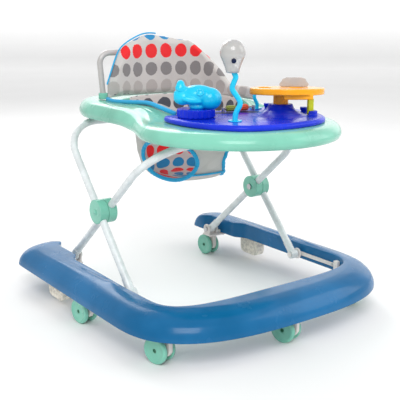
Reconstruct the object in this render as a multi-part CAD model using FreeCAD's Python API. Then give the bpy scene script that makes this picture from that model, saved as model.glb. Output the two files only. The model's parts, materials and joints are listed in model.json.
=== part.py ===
import FreeCAD, Part
import math
import os
from FreeCAD import Vector

# Baby walker. Millimetres, +Z up, the child faces -Y, X to the walker's side.
# Everything is laid out about the scissor hub (y = 0 there) and moved back by
# FOOTPRINT_SHIFT when it is saved, so that the footprint is centred on the origin.
FOOTPRINT_SHIFT = 64.0

# Casters
CASTER_R = 26.5
WHEEL_OUTER = 16.5          # half the width over both discs
DISC_T = 9.0
CORE_R = 18.0
BLADE_T = 9.0
STEM_R = 4.0
TRAIL = 23.0                # swivel axis to wheel axle
AXLE_R = 2.5
RUN = 0.05                  # radial running clearance
STEM_TOP = 68.0
REAR_STEM_TOP = 62.5
CASTERS = {                 # swivel axis x, y and the rest yaw in degrees
    "front_left": (-253.0, -312.0, 16.0),
    "front_right": (253.0, -312.0, 16.0),
    "front_centre": (0.0, -378.0, 16.0),
    "side_left": (-280.0, -60.0, 8.0),
    "rear_left": (-212.0, 172.0, 4.0),
    "rear_right": (212.0, 172.0, 4.0),
}

# Base: a U-shaped hollow moulding, open at the rear
BASE_Z = 54.5
BASE_TOP = 101.0
BASE_WALL = 3.0
BASE_IN = 244.0             # half the gap between the arms
FRONT_CY = -200.0           # the front bow is a superellipse about this y
BASE_IN_DEPTH = 114.0
BASE_N_OUT = 2.8
BASE_N_IN = 4.0
BASE_LEVELS = (             # height, outer half width, outer front depth, rear end y
    (BASE_Z, 310.0, 203.0, 272.0),
    (66.0, 308.5, 201.5, 270.0),
    (80.0, 302.0, 195.0, 264.0),
    (91.0, 290.0, 183.0, 253.0),
    (98.0, 275.0, 168.0, 240.0),
    (BASE_TOP, 258.0, 150.0, 225.0),
)
REAR_ROUND = 42.0
BLOCK_T = 18.0                      # blocks that thicken the arms beside the rear brackets
TIP_IN = 208.0                      # the arms' tips reach in to this x behind the brackets
RAIL_T = 5.0
RAIL_Y = (-250.0, -96.0)
RAIL_Z = (73.0, 81.0)
HOOK_OUT = 14.0                     # the rail's stop hook stands off the wall by this much
PAD_X = (266.0, 288.0)
PAD_Y, PAD_LOW = 90.0, 14.0         # stopper pads: middle and underside
PAD_HALF = 35.0

# Legs: two bent U tubes crossing at the hubs
TUBE_R = 8.0
TUBE_WALL = 1.2
INNER_X = 201.0
OUTER_X = 221.0
HUB_Z = 221.0
REAR_PIVOT = (170.0, 76.0)      # y, z of the fixed rear pivots
FRONT_PIVOT = (-127.0, 77.0)    # y, z of the sliding front pivots
INNER_TOP_Y = -185.0            # crossbar of the inner frame, under the tray's front
OUTER_TOP_Y = 150.0             # crossbar of the outer frame, under the tray's rear
INNER_BEND = 108.0
OUTER_BEND = 80.0
HUB_R = 26.0
HUB_IN, HUB_OUT = 9.7, 10.0       # hub half's reach towards and away from its partner
PIN_R = 4.0
SLEEVE_R = 9.2               # moulded ends over the tubes

# Tray
TRAY_WALL = 3.0
LOBE_CY = -190.0
LOBE_LEVELS = ((388.5, 202.0), (400.0, 208.0), (411.0, 204.0), (418.0, 192.0), (420.0, 178.0))
RING_CY = 80.0
RING_N = 2.6
RING_FRONT = -104.0
RING_LEVELS = ((402.0, 178.0, 188.0), (413.0, 182.0, 191.0), (428.0, 176.0, 184.0),
               (436.0, 164.0, 170.0), (440.0, 148.0, 152.0))
HOLE_A, HOLE_B, HOLE_N = 120.0, 125.0, 3.0
TRAY_TOP = 440.0
LOBE_TOP = 420.0

# Toy console on the tray's front
CON_CY = -200.0
CON_A, CON_B, CON_N = 158.0, 157.0, 2.4
CON_TOP = 431.0
CON_REAR = -128.0

# Toys on the console
TOY_TURN = -36.0            # degrees; the toys line up along this direction
DIAL_XY = (-99.0, -182.0)
DIAL_R = 36.0
DIAL_T = 17.0
DIAL_RIBS = 24
DIAL_PIN_R = 5.0
WHALE_SIZE = (42.0, 25.0, 23.5)     # half length, width and height of its body
BULB_XY = (-74.0, -273.0)
BULB_R = 24.0
BULB_Z = 558.0
BULB_NECK_R = 13.0
BULB_STEM_TOP = 523.0
TWIST_XY = (86.0, -142.0)
TWIST_TOP = 470.0
SPIGOT_R = 5.0
STEM_HOLE_R = 7.0
STEM_FOOT_R = 13.0
WHEEL_XY = (62.0, -248.0)           # where the steering column meets the dome
WHEEL_Z = 479.0
WHEEL_R_OUT = 74.0
WHEEL_OFFSET = 12.0                 # the wheel's disc stands off its column
WHEEL_T = 11.0
WHEEL_TILT = 2.5
GRIP_A, GRIP_B = 15.0, 28.0         # half sizes of each finger opening
GRIP_X = 31.0
COLUMN_R = 15.0
COLUMN_LOW = 435.0
DOME_LOW_R, DOME_HIGH_R, DOME_H = 56.0, 28.0, 20.0
PADDLE_XY = (107.0, -286.0)
PADDLE_TOP = 463.0
DISH_R = 14.5
SCREEN_XY = (31.0, 45.0)            # on the wheel, from its column
SCREEN_T = 3.0
BUTTONS = ((134.0, -240.0, 8.5), (143.0, -166.0, 7.5), (116.0, -144.0, 7.0))
BUTTON_TOP = 441.0
ROLLER_Y, ROLLER_Z = -158.0, 438.5
ROLLERS = (("olive", 6.0, 6.5), ("orange", 38.0, 7.0))     # name, x, radius
ROLLER_T = 22.0
POSTS_X = (-14.0, 66.0)

# Push handle behind the seat
HOOP_X, HOOP_Y = 125.0, 142.0
HOOP_R = 6.5
HOOP_TOP = 542.0
HOOP_BEND = 24.0
HOOP_LEAN = 12.0

# Seat
BACK_OUT = (134.0, 140.0)           # half sizes of the padded back's outer face
BACK_PAD = 13.0
BACK_N = 3.2
BACK_TOP = 588.0
BACK_NEAR_END = (-60.0, 92.0)       # nothing of the back in front of this y and outside this x
# The back's top edge, from the side (y, z) and from the front (x, z)
BACK_SIDE = ((140.0, 588.0), (110.0, 573.0), (60.0, 535.0), (0.0, 474.0), (-110.0, 470.0))
BACK_FRONT = ((-135.0, 478.0), (-104.0, 528.0), (-62.0, 570.0), (0.0, 588.0), (66.0, 582.0),
              (135.0, 556.0))
SLING_LEVELS = ((272.0, 74.0, 84.0), (290.0, 100.0, 106.0), (330.0, 112.0, 117.0), (444.0, 116.0, 121.0))
SLING_N = 2.6
SLING_T = 4.0
LEG_START = (38.0, -16.0, 328.0)    # a leg hole's middle line starts here
LEG_AXIS = (0.78, -0.62, -0.1)
LEG_A, LEG_B = 66.0, 47.0           # half width and half height of a leg hole


def save(name, shape):
    """Moves the shape to the footprint's frame and writes its STEP file."""
    out = shape.copy()
    out.translate(Vector(0, FOOTPRINT_SHIFT, 0))
    os.makedirs("parts", exist_ok=True)
    out.exportStep("parts/%s.step" % name)


def cyl(r, start, end):
    """A cylinder of radius r between two points."""
    a, b = Vector(*start), Vector(*end)
    return Part.makeCylinder(r, (b - a).Length, a, b - a)


def box(low, high):
    """A box between two corners."""
    return Part.makeBox(high[0] - low[0], high[1] - low[1], high[2] - low[2], Vector(*low))


def fuse(shapes):
    """One clean solid from overlapping ones."""
    return shapes[0].multiFuse(list(shapes[1:])).removeSplitter()


def mirror_x(shape):
    """The other side's piece."""
    return shape.mirror(Vector(0, 0, 0), Vector(1, 0, 0))


def both(shape):
    """A right-hand piece and its mirror image, as separate solids in one node."""
    return Part.makeCompound([shape, mirror_x(shape)])


def arc_points(a, b, n, cy, start, end, steps):
    """Points of a superellipse of half sizes a, b and exponent n, centred on (0, cy)."""
    points = []
    for i in range(steps + 1):
        t = math.radians(start + (end - start) * i / steps)
        c, s = math.cos(t), math.sin(t)
        x = a * math.copysign(abs(c) ** (2.0 / n), c)
        y = cy + b * math.copysign(abs(s) ** (2.0 / n), s)
        points.append((x, y))
    return points


def spline(points, z):
    """An edge through plan points at height z."""
    curve = Part.BSplineCurve()
    curve.interpolate([Vector(x, y, z) for x, y in points])
    return curve.toShape()


def line(a, b, z):
    """A straight edge between two plan points at height z."""
    return Part.makeLine(Vector(a[0], a[1], z), Vector(b[0], b[1], z))


def oval(a, b, n, cy, z):
    """A closed superellipse wire at height z, as four spline edges."""
    return Part.Wire([spline(arc_points(a, b, n, cy, q, q + 90, 8), z) for q in (0, 90, 180, 270)])


def loft(wires):
    """A solid through a stack of like wires."""
    return Part.makeLoft(wires, True, True)


def profile(points, axis, low, high):
    """A closed outline in the plane across the axis, extruded from low to high."""
    place = {"x": lambda p: Vector(low, p[0], p[1]), "y": lambda p: Vector(p[0], low, p[1]),
             "z": lambda p: Vector(p[0], p[1], low)}[axis]
    along = {"x": Vector(1, 0, 0), "y": Vector(0, 1, 0), "z": Vector(0, 0, 1)}[axis]
    ring = [place(p) for p in points]
    face = Part.Face(Part.makePolygon(ring + ring[:1]))
    return face.extrude(along * (high - low))


# ---------------------------------------------------------------- base

def base_wire(z, half, depth, rear, inset):
    """The U outline at height z, pulled in by inset all round."""
    a, b, end, gap = half - inset, depth - inset, rear - inset, BASE_IN + inset
    inner = BASE_IN_DEPTH + inset
    turn = min(REAR_ROUND, a - gap - 2.0)
    outer = arc_points(a, b, BASE_N_OUT, FRONT_CY, 180, 360, 24)
    inside = arc_points(gap, inner, BASE_N_IN, FRONT_CY, 360, 180, 24)
    corner = arc_points(turn, REAR_ROUND, 2.2, end - REAR_ROUND, 0, 90, 6)
    right = [(x + a - turn, y) for x, y in corner]
    left = [(-x, y) for x, y in reversed(right)]
    edges = [
        line(left[-1], outer[0], z), spline(outer, z), line(outer[-1], right[0], z), spline(right, z),
        line(right[-1], (gap, end), z), line((gap, end), inside[0], z), spline(inside, z),
        line(inside[-1], (-gap, end), z), line((-gap, end), left[0], z), spline(left, z),
    ]
    return Part.Wire(edges)


def base_cavity():
    """The hollow under the moulding's skin."""
    low = BASE_LEVELS[0]
    wires = [base_wire(BASE_Z - 5.0, low[1], low[2], low[3], BASE_WALL)]
    wires += [base_wire(z, a, b, rear, BASE_WALL) for z, a, b, rear in BASE_LEVELS[:-1]]
    return loft(wires)


def base_skin():
    """The moulding's outer form, solid."""
    return loft([base_wire(z, a, b, rear, 0.0) for z, a, b, rear in BASE_LEVELS])


def base_shell():
    """Hollow U moulding with solid blocks beside the rear brackets and thicker tips behind them."""
    shell = base_skin().cut(base_cavity())
    block = box((BASE_IN - BLOCK_T, 96.0, 62.0), (BASE_IN + 2.0, 250.0, 96.0))
    tip_ends = [(TIP_IN + 22.0, 198.0), (TIP_IN + 5.0, 204.0), (TIP_IN, 214.0), (TIP_IN, 234.0),
                (TIP_IN + 5.0, 244.0), (TIP_IN + 22.0, 248.0)]
    tip = profile(tip_ends, "z", 62.0, 96.0)
    return fuse([shell, block, mirror_x(block), tip, mirror_x(tip)])


def slide_rail():
    """Rail on the arm's inner wall with a stop hook at its front end."""
    bar = box((BASE_IN - RAIL_T, RAIL_Y[0], RAIL_Z[0]), (BASE_IN, RAIL_Y[1], RAIL_Z[1]))
    hook = box((BASE_IN - HOOK_OUT, RAIL_Y[0] - 11.0, RAIL_Z[0] - 2.0),
               (BASE_IN, RAIL_Y[0] + 1.0, RAIL_Z[1] + 10.0))
    rail = fuse([bar, hook]).cut(base_skin())
    return both(max(rail.Solids, key=lambda s: s.Volume))


def rear_bracket():
    """Clevis that holds the inner frame's foot, with the rear caster's socket under it."""
    y, z = REAR_PIVOT
    x = CASTERS["rear_right"][0]
    plate = box((186.0, y - 17.0, 58.0), (BASE_IN - 4.0, y + 17.0, 62.0))
    ears = []
    for low, high in ((186.0, 190.5), (211.5, 215.0)):
        round_top = cyl(13.0, (low, y, z), (high, y, z))
        ears.append(fuse([round_top, box((low, y - 11.0, 58.0), (high, y + 11.0, z))]))
    web = box((214.0, y - 9.0, 58.0), (BASE_IN - BLOCK_T, y + 9.0, 70.0))
    socket = cyl(9.0, (x, CASTERS["rear_right"][1], BASE_Z), (x, CASTERS["rear_right"][1], 60.0))
    body = fuse([plate, web, socket] + ears)
    pin_hole = cyl(PIN_R, (180.0, y, z), (BASE_IN - BLOCK_T, y, z))
    stem_hole = cyl(STEM_R + RUN, (x, CASTERS["rear_right"][1], 50.0), (x, CASTERS["rear_right"][1], 63.0))
    return both(body.cut(pin_hole).cut(stem_hole))


def rear_pivot_pin():
    """Pin through the bracket's ears and the inner frame's foot, with its head."""
    y, z = REAR_PIVOT
    pin = cyl(PIN_R, (183.5, y, z), (218.0, y, z))
    head = cyl(6.5, (182.0, y, z), (186.0, y, z))
    return both(fuse([pin, head]))


def stopper_pad():
    """Rubber brake pad that drops onto a step's edge when a wheel runs over it."""
    near, far = PAD_Y - PAD_HALF, PAD_Y + PAD_HALF
    low, high = PAD_LOW, BASE_Z + 1.0
    side = [(near, high), (near, low + 12.0), (near + 4.0, low + 4.0), (near + 12.0, low),
            (far - 12.0, low), (far - 4.0, low + 4.0), (far, low + 12.0), (far, high)]
    return both(profile(side, "x", PAD_X[0], PAD_X[1]))


def pad_bracket():
    """Rib from each pad's top up to the base's roof."""
    inset = 3.0
    rib = box((PAD_X[0] + inset, PAD_Y - 30.0, BASE_Z + 1.0), (PAD_X[1] - inset, PAD_Y + 30.0, BASE_TOP))
    return both(rib.common(base_cavity()))


def caster_sockets():
    """Bosses inside the base that the front and side casters' stems turn in."""
    cavity = base_cavity()
    bosses = []
    for name, (x, y, yaw) in CASTERS.items():
        if name.startswith("rear"):
            continue
        boss = cyl(8.0, (x, y, BASE_Z + 0.5), (x, y, BASE_TOP)).common(cavity)
        bosses.append(boss.cut(cyl(STEM_R + RUN, (x, y, 50.0), (x, y, STEM_TOP + 0.5))))
    return Part.makeCompound(bosses)


def base_screws():
    """Screw heads that hold the rails and the rear brackets."""
    face = BASE_IN - RAIL_T
    middle = (RAIL_Z[0] + RAIL_Z[1]) / 2.0
    heads = []
    for y in (RAIL_Y[1] - 8.0, RAIL_Y[0] + 12.0):
        heads.append(cyl(3.5, (face - 2.2, y, middle), (face, y, middle)))
    for y in (REAR_PIVOT[0] - 10.0, REAR_PIVOT[0] + 10.0):
        heads.append(cyl(3.5, (BASE_IN - 11.0, y, 56.0), (BASE_IN - 11.0, y, 58.0)))
    return Part.makeCompound(heads + [mirror_x(head) for head in heads])


# ---------------------------------------------------------------- casters

def placed(shape, x, y, yaw):
    """Turns a caster piece by its rest yaw and moves it to its swivel axis."""
    out = shape.copy()
    out.rotate(Vector(0, 0, 0), Vector(0, 0, 1), yaw)
    out.translate(Vector(x, y, 0))
    return out


def caster_fork(stem_top):
    """Stem and the blade between the two discs; the axle turns in its bore."""
    half = BLADE_T / 2.0
    side = [(-5.0, 52.0), (-5.0, 26.0), (0.0, 18.0), (TRAIL + 3.0, 18.0), (TRAIL + 7.0, 24.0),
            (TRAIL + 7.0, 32.0), (TRAIL - 4.0, 44.0), (7.0, 52.0)]
    blade = profile(side, "x", -half, half)
    stem = cyl(STEM_R, (0, 0, 30.0), (0, 0, stem_top))
    bore = cyl(AXLE_R + RUN, (-half - 1.0, TRAIL, CASTER_R), (half + 1.0, TRAIL, CASTER_R))
    return fuse([blade, stem]).cut(bore)


def caster_wheel():
    """Two tread discs with their inner cores."""
    discs = []
    for side in (-1.0, 1.0):
        outer = side * WHEEL_OUTER
        inner = side * (WHEEL_OUTER - DISC_T)
        core_end = side * (BLADE_T / 2.0 + 0.7)
        tread = cyl(CASTER_R, (outer - side * 3.0, TRAIL, CASTER_R), (inner, TRAIL, CASTER_R))
        rim = Part.makeCone(CASTER_R, CASTER_R - 2.5, 3.0, Vector(outer - side * 3.0, TRAIL, CASTER_R),
                            Vector(side, 0, 0))
        core = cyl(CORE_R, (inner, TRAIL, CASTER_R), (core_end, TRAIL, CASTER_R))
        hole = cyl(AXLE_R, (outer + side, TRAIL, CASTER_R), (core_end - side, TRAIL, CASTER_R))
        dish = cyl(4.0, (outer - side * 2.0, TRAIL, CASTER_R), (outer + side, TRAIL, CASTER_R))
        discs.append(fuse([tread, rim, core]).cut(hole).cut(dish))
    return Part.makeCompound(discs)


def caster_axle():
    """Steel axle that both discs are pressed on."""
    end = WHEEL_OUTER - 3.0
    return cyl(AXLE_R, (-end, TRAIL, CASTER_R), (end, TRAIL, CASTER_R))


def save_casters():
    """Each caster's fork, pair of discs and axle."""
    for name, (x, y, yaw) in CASTERS.items():
        top = REAR_STEM_TOP if name.startswith("rear") else STEM_TOP
        save("caster_fork_" + name, placed(caster_fork(top), x, y, yaw))
        save("caster_wheel_" + name, placed(caster_wheel(), x, y, yaw))
        save("caster_axle_" + name, placed(caster_axle(), x, y, yaw))


# ---------------------------------------------------------------- legs

def bent_tube(half, foot, top_y, bend, radius, wall):
    """A tube bent to a U in one sloping plane: up one side, across the top, down the other."""
    slope = Vector(0, -foot[0], HUB_Z - foot[1])
    slope.normalize()
    hub = Vector(0, 0, HUB_Z)
    top = hub + slope * (top_y / slope.y)
    start = Vector(0, foot[0], foot[1]) + slope * 8.0
    side = Vector(half, 0, 0)
    across = Vector(half - bend, 0, 0)
    corner = across + Vector(bend * math.sin(math.pi / 4), 0, 0)
    drop = slope * bend
    dip = slope * (bend * (1.0 - math.cos(math.pi / 4)))
    edges = [
        Part.makeLine(start - side, top - drop - side),
        Part.Arc(top - drop - side, top - dip - corner, top - across).toShape(),
        Part.makeLine(top - across, top + across),
        Part.Arc(top + across, top - dip + corner, top - drop + side).toShape(),
        Part.makeLine(top - drop + side, start + side),
    ]
    path = Part.Wire(edges)
    solids = []
    for r in (radius, radius - wall):
        ring = Part.Wire([Part.makeCircle(r, start - side, slope)])
        solids.append(path.makePipeShell([ring], True, True))
    return solids[0].cut(solids[1])


def drilled(tube, clearance):
    """A leg tube with the hub bolts' holes through both sides."""
    bore = hub_bore(clearance)
    return tube.cut(bore).cut(mirror_x(bore))


def leg_end(half, foot):
    """Moulded end over a tube's foot, bored for its pivot pin."""
    slope = Vector(0, -foot[0], HUB_Z - foot[1])
    slope.normalize()
    pivot = Vector(half, foot[0], foot[1])
    lug = cyl(10.0, (half - 9.5, foot[0], foot[1]), (half + 9.5, foot[0], foot[1]))
    sleeve = Part.makeCylinder(SLEEVE_R, 34.0, pivot, slope)
    body = fuse([lug, sleeve])
    body = body.cut(Part.makeCylinder(TUBE_R, 40.0, pivot + slope * 8.0, slope))
    return both(body.cut(cyl(PIN_R + RUN, (half - 12.0, foot[0], foot[1]), (half + 12.0, foot[0], foot[1]))))


def hub_half(half, foot, low, high):
    """One half of a hub: a disc moulded round its tube."""
    slope = Vector(0, -foot[0], HUB_Z - foot[1])
    slope.normalize()
    disc = cyl(HUB_R, (low, 0, HUB_Z), (high, 0, HUB_Z))
    return disc.cut(Part.makeCylinder(TUBE_R, 90.0, Vector(half, 0, HUB_Z) - slope * 45.0, slope))


def hub_inner():
    """Inner halves, fixed on the inner frame's legs."""
    low, high = INNER_X - HUB_OUT, INNER_X + HUB_IN
    return both(hub_half(INNER_X, REAR_PIVOT, low, high).cut(hub_bore(0.0)))


def hub_outer():
    """Outer halves, on the outer frame's legs, which turn about the hub bolts."""
    low, high = OUTER_X - HUB_IN, OUTER_X + HUB_OUT
    return both(hub_half(OUTER_X, FRONT_PIVOT, low, high).cut(hub_bore(RUN)))


def hub_bore(clearance):
    """The hub bolt's hole, right through hub and tubes."""
    return cyl(PIN_R + clearance, (INNER_X - 30.0, 0, HUB_Z), (OUTER_X + 30.0, 0, HUB_Z))


def hub_bolt():
    """Bolt that both frames cross on, fixed in the inner half, with its head inside."""
    bolt = cyl(PIN_R, (INNER_X - 12.0, 0, HUB_Z), (OUTER_X + 9.5, 0, HUB_Z))
    head = cyl(7.0, (INNER_X - 13.5, 0, HUB_Z), (INNER_X - 10.0, 0, HUB_Z))
    return both(fuse([bolt, head]))


def hub_cap():
    """Screw cap in the middle of each hub's outer face."""
    face = OUTER_X + HUB_OUT
    cap = fuse([cyl(6.0, (face, 0, HUB_Z), (face + 1.5, 0, HUB_Z)),
                cyl(3.5, (face + 1.5, 0, HUB_Z), (face + 2.5, 0, HUB_Z))])
    return both(cap)


def slide_foot():
    """Shoe between the outer frame's foot and the rail, with the foot's pivot pin."""
    y, z = FRONT_PIVOT
    inner = OUTER_X + 10.2
    disc = cyl(13.0, (inner, y, z), (BASE_IN - 7.6, y, z))
    pin = cyl(PIN_R, (OUTER_X - 11.0, y, z), (inner, y, z))
    head = cyl(6.0, (OUTER_X - 12.5, y, z), (OUTER_X - 10.0, y, z))
    return both(fuse([disc, pin, head]))


# ---------------------------------------------------------------- tray

def lobe(inset, low):
    """The round front of the tray."""
    wires = [oval(r - inset, r - inset, 2.0, LOBE_CY, z) for z, r in LOBE_LEVELS]
    if low is not None:
        first = LOBE_LEVELS[0][1] - inset
        wires = [oval(first, first, 2.0, LOBE_CY, low)] + wires[:-1]
    return loft(wires)


def ring_wire(z, half, depth, inset):
    """The tray's rear outline at height z: straight sides, round rear, straight front."""
    a, b = half - inset, depth - inset
    rear = arc_points(a, b, RING_N, RING_CY, 0, 180, 20)
    front = RING_FRONT + inset
    edges = [spline(rear, z), line(rear[-1], (-a, front), z), line((-a, front), (a, front), z),
             line((a, front), rear[0], z)]
    return Part.Wire(edges)


def ring(inset, low):
    """The raised rear of the tray, round the seat."""
    wires = [ring_wire(z, a, b, inset) for z, a, b in RING_LEVELS]
    if low is not None:
        wires = [ring_wire(low, RING_LEVELS[0][1], RING_LEVELS[0][2], inset)] + wires[:-1]
    return loft(wires)


def hole(inset, low, high):
    """The seat opening as a column."""
    return loft([oval(HOLE_A - inset, HOLE_B - inset, HOLE_N, 0.0, z) for z in (low, high)])


def tray_shell():
    """Hollow tray: round front, raised ring at the rear, walled seat opening."""
    skin = fuse([lobe(0.0, None), ring(0.0, None)])
    cavity = lobe(TRAY_WALL, 380.0).fuse(ring(TRAY_WALL, 380.0)).cut(hole(-TRAY_WALL, 370.0, 450.0))
    shell = skin.cut(cavity).cut(hole(0.0, 370.0, 450.0))
    return max(shell.Solids, key=lambda s: s.Volume)


def saddle():
    """Block under the tray's rear, bored round the outer frame's crossbar."""
    slope = (HUB_Z - FRONT_PIVOT[1]) / -FRONT_PIVOT[0]
    z = HUB_Z + slope * OUTER_TOP_Y
    block = box((60.0, OUTER_TOP_Y - 14.0, z - 14.0), (84.0, OUTER_TOP_Y + 14.0, 436.0))
    return both(block.cut(cyl(TUBE_R + RUN, (50.0, OUTER_TOP_Y, z), (95.0, OUTER_TOP_Y, z))))


def catch_rack():
    """Rack of notches under the tray's front, which the inner frame's crossbar drops into."""
    top = 418.0
    points = [(-172.0, top), (-172.0, 389.5)]
    for i in range(5):
        y = -196.0 - 24.0 * i
        z = 391.5 + 2.2 * i
        points += [(y + 12.0, z), (y + 10.0, z + 4.0), (y - 8.0, z + 5.0), (y - 10.0, z + 1.0)]
    points += [(-318.0, 402.0), (-318.0, top)]
    return both(profile(points, "x", 52.0, 62.0))


def console():
    """Toy console plate with a raised dome for the steering wheel."""
    plate = loft([oval(CON_A, CON_B, CON_N, CON_CY, LOBE_TOP), oval(CON_A, CON_B, CON_N, CON_CY, 427.0),
                  oval(CON_A - 5.0, CON_B - 5.0, CON_N, CON_CY, CON_TOP)])
    plate = plate.cut(box((-200.0, CON_REAR, 400.0), (200.0, 0.0, 480.0)))
    x, y = WHEEL_XY
    dome = Part.makeCone(DOME_LOW_R, DOME_HIGH_R, DOME_H, Vector(x, y, CON_TOP - 1.0))
    dish = cyl(DISH_R, (PADDLE_XY[0], PADDLE_XY[1], CON_TOP - 1.0),
               (PADDLE_XY[0], PADDLE_XY[1], CON_TOP + 9.0))
    slot = box((PADDLE_XY[0] - 9.0, PADDLE_XY[1] - 4.5, CON_TOP + 1.0),
               (PADDLE_XY[0] + 9.0, PADDLE_XY[1] + 4.5, CON_TOP + 12.0))
    body = fuse([plate, dome, dish]).cut(slot)
    body = body.cut(tilted(cyl(COLUMN_R + RUN, (x, y, COLUMN_LOW - 0.5), (x, y, WHEEL_Z + 20.0))))
    body = body.cut(cyl(DIAL_PIN_R + RUN, (DIAL_XY[0], DIAL_XY[1], 424.0), (DIAL_XY[0], DIAL_XY[1], 450.0)))
    for bx, by, r in BUTTONS:
        body = body.cut(cyl(r - 2.0 + RUN, (bx, by, 422.5), (bx, by, 450.0)))
    for sx, sy in (BULB_XY, TWIST_XY):
        body = body.cut(cyl(STEM_HOLE_R, (sx, sy, CON_TOP - 6.0), (sx, sy, CON_TOP + 5.0)))
    return body


# ---------------------------------------------------------------- toys

def toy_side():
    """The direction the toys line up along."""
    turn = math.radians(TOY_TURN)
    return Vector(math.cos(turn), math.sin(turn), 0)


def whale_dial():
    """Ridged drum that the whale turns on, with its pin in the console."""
    x, y = DIAL_XY
    drum = cyl(DIAL_R, (x, y, CON_TOP + 0.4), (x, y, CON_TOP + DIAL_T))
    ribs = []
    for i in range(DIAL_RIBS):
        turn = 2.0 * math.pi * i / DIAL_RIBS
        px, py = x + DIAL_R * math.cos(turn), y + DIAL_R * math.sin(turn)
        ribs.append(cyl(1.8, (px, py, CON_TOP + 2.0), (px, py, CON_TOP + DIAL_T - 2.0)))
    pin = cyl(DIAL_PIN_R, (x, y, 425.0), (x, y, CON_TOP + 2.0))
    return fuse([drum, pin] + ribs)


def whale():
    """Whale reduced to plain rounded forms: body, tail and neck."""
    x, y = DIAL_XY
    ahead = toy_side()
    neck = cyl(15.0, (x, y, CON_TOP + DIAL_T), (x, y, CON_TOP + DIAL_T + 8.0))
    body = Part.makeSphere(1.0)
    scale = FreeCAD.Matrix()
    scale.scale(*WHALE_SIZE)
    body = body.transformGeometry(scale)
    body.rotate(Vector(0, 0, 0), Vector(0, 0, 1), TOY_TURN)
    body.translate(Vector(x, y, CON_TOP + DIAL_T + 25.0) + ahead * 6.0)
    tail = Part.makeCone(15.0, 8.0, 30.0, Vector(x, y, CON_TOP + 38.0) - ahead * 24.0,
                         Vector(-ahead.x * 0.55, -ahead.y * 0.55, 0.85))
    return fuse([neck, body, tail])


def bulb_stem():
    """Wavy flexible stem with the spigot that snaps into the console."""
    x, y = BULB_XY
    spigot = cyl(SPIGOT_R, (x, y, CON_TOP - 5.0), (x, y, CON_TOP + 1.5))
    return fuse([spigot, wavy(x, y, CON_TOP + 1.0, BULB_STEM_TOP, 4.6, 5.5, 3)])


def stem_feet():
    """Flat ring on the console round each stem's foot."""
    rings = []
    for x, y in (BULB_XY, TWIST_XY):
        disc = cyl(STEM_FOOT_R, (x, y, CON_TOP), (x, y, CON_TOP + 2.0))
        rings.append(disc.cut(cyl(STEM_HOLE_R, (x, y, CON_TOP - 1.0), (x, y, CON_TOP + 3.0))))
    return Part.makeCompound(rings)


def wavy(x, y, low, high, radius, sway, halves):
    """A round stem that weaves from side to side: equal arcs that meet in line."""
    side = toy_side()
    step = (high - low) / halves
    edges = []
    for i in range(halves):
        start = Vector(x, y, low + step * i)
        end = Vector(x, y, low + step * (i + 1))
        swing = sway if i % 2 == 0 else -sway
        edges.append(Part.Arc(start, (start + end) * 0.5 + side * swing, end).toShape())
    lean = 2.0 * math.atan(2.0 * sway / step)
    first = side * math.sin(lean) + Vector(0, 0, math.cos(lean))
    section = Part.Wire([Part.makeCircle(radius, Vector(x, y, low), first)])
    return Part.Wire(edges).makePipeShell([section], True, True)


def bulb():
    """Round rattle head that tapers to the stem and is moulded over its end."""
    x, y = BULB_XY
    ball = Part.makeSphere(BULB_R, Vector(x, y, BULB_Z))
    taper = Part.makeCone(BULB_NECK_R, BULB_R - 4.0, 22.0, Vector(x, y, BULB_STEM_TOP + 2.0))
    neck = cyl(BULB_NECK_R, (x, y, BULB_STEM_TOP - 2.0), (x, y, BULB_STEM_TOP + 2.5))
    return fuse([ball, taper, neck]).cut(bulb_stem())


def bulb_button():
    """Small button on the rattle head's front."""
    x, y = BULB_XY
    out = Vector(-0.45, -0.70, -0.55)
    out.normalize()
    centre = Vector(x, y, BULB_Z)
    knob = Part.makeCylinder(4.5, 4.0, centre + out * (BULB_R - 0.6), out)
    return knob.cut(bulb())


def twist_stem():
    """Short wavy stem with a knob."""
    x, y = TWIST_XY
    spigot = cyl(SPIGOT_R, (x, y, CON_TOP - 5.0), (x, y, CON_TOP + 1.5))
    knob = Part.makeSphere(6.0, Vector(x, y, TWIST_TOP))
    return fuse([spigot, wavy(x, y, CON_TOP + 1.0, TWIST_TOP, 4.2, 2.5, 2), knob])


def tilted(shape):
    """Leans a steering piece back, about the foot of its column."""
    out = shape.copy()
    out.rotate(Vector(WHEEL_XY[0], WHEEL_XY[1], COLUMN_LOW), toy_side(), -WHEEL_TILT)
    return out


def on_wheel(shape):
    """Takes a piece from the steering wheel's own frame to its place."""
    out = shape.copy()
    out.rotate(Vector(0, 0, 0), Vector(0, 0, 1), TOY_TURN)
    out.translate(Vector(WHEEL_XY[0], WHEEL_XY[1], WHEEL_Z))
    return tilted(out)


def steering_wheel():
    """Rounded steering wheel with two finger openings and a lower bar."""
    half = WHEEL_T / 2.0
    body = Part.makeCylinder(WHEEL_R_OUT, WHEEL_T, Vector(WHEEL_OFFSET, 0, -half))
    bar = box((0.0, -62.0, -half - 8.5), (56.0, -46.0, -half + 0.5))
    body = fuse([body, bar])
    for side in (-1.0, 1.0):
        body = body.cut(oval_disc(side * GRIP_X, 8.0, GRIP_A, GRIP_B, -20.0, 20.0))
    return on_wheel(body)


def windscreen():
    """Upright clear plate on top of the steering wheel, near its far rim."""
    x, y = SCREEN_XY
    base = WHEEL_T / 2.0
    right = [(20.0, base), (26.0, base + 6.0), (27.0, base + 9.0), (23.0, base + 16.0), (15.0, base + 19.0)]
    outline = right + [(-px, z) for px, z in reversed(right)]
    panel = profile(outline, "y", y - SCREEN_T / 2.0, y + SCREEN_T / 2.0)
    panel.translate(Vector(x, 0, 0))
    return on_wheel(panel)


def oval_disc(x, y, a, b, low, high):
    """A flat oval plate, longer in y than in x."""
    face = Part.Face(Part.Wire([Part.Ellipse(Vector(0, 0, 0), b, a).toShape()]))
    face.rotate(Vector(0, 0, 0), Vector(0, 0, 1), 90)
    face.translate(Vector(x, y, low))
    return face.extrude(Vector(0, 0, high - low))


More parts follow.
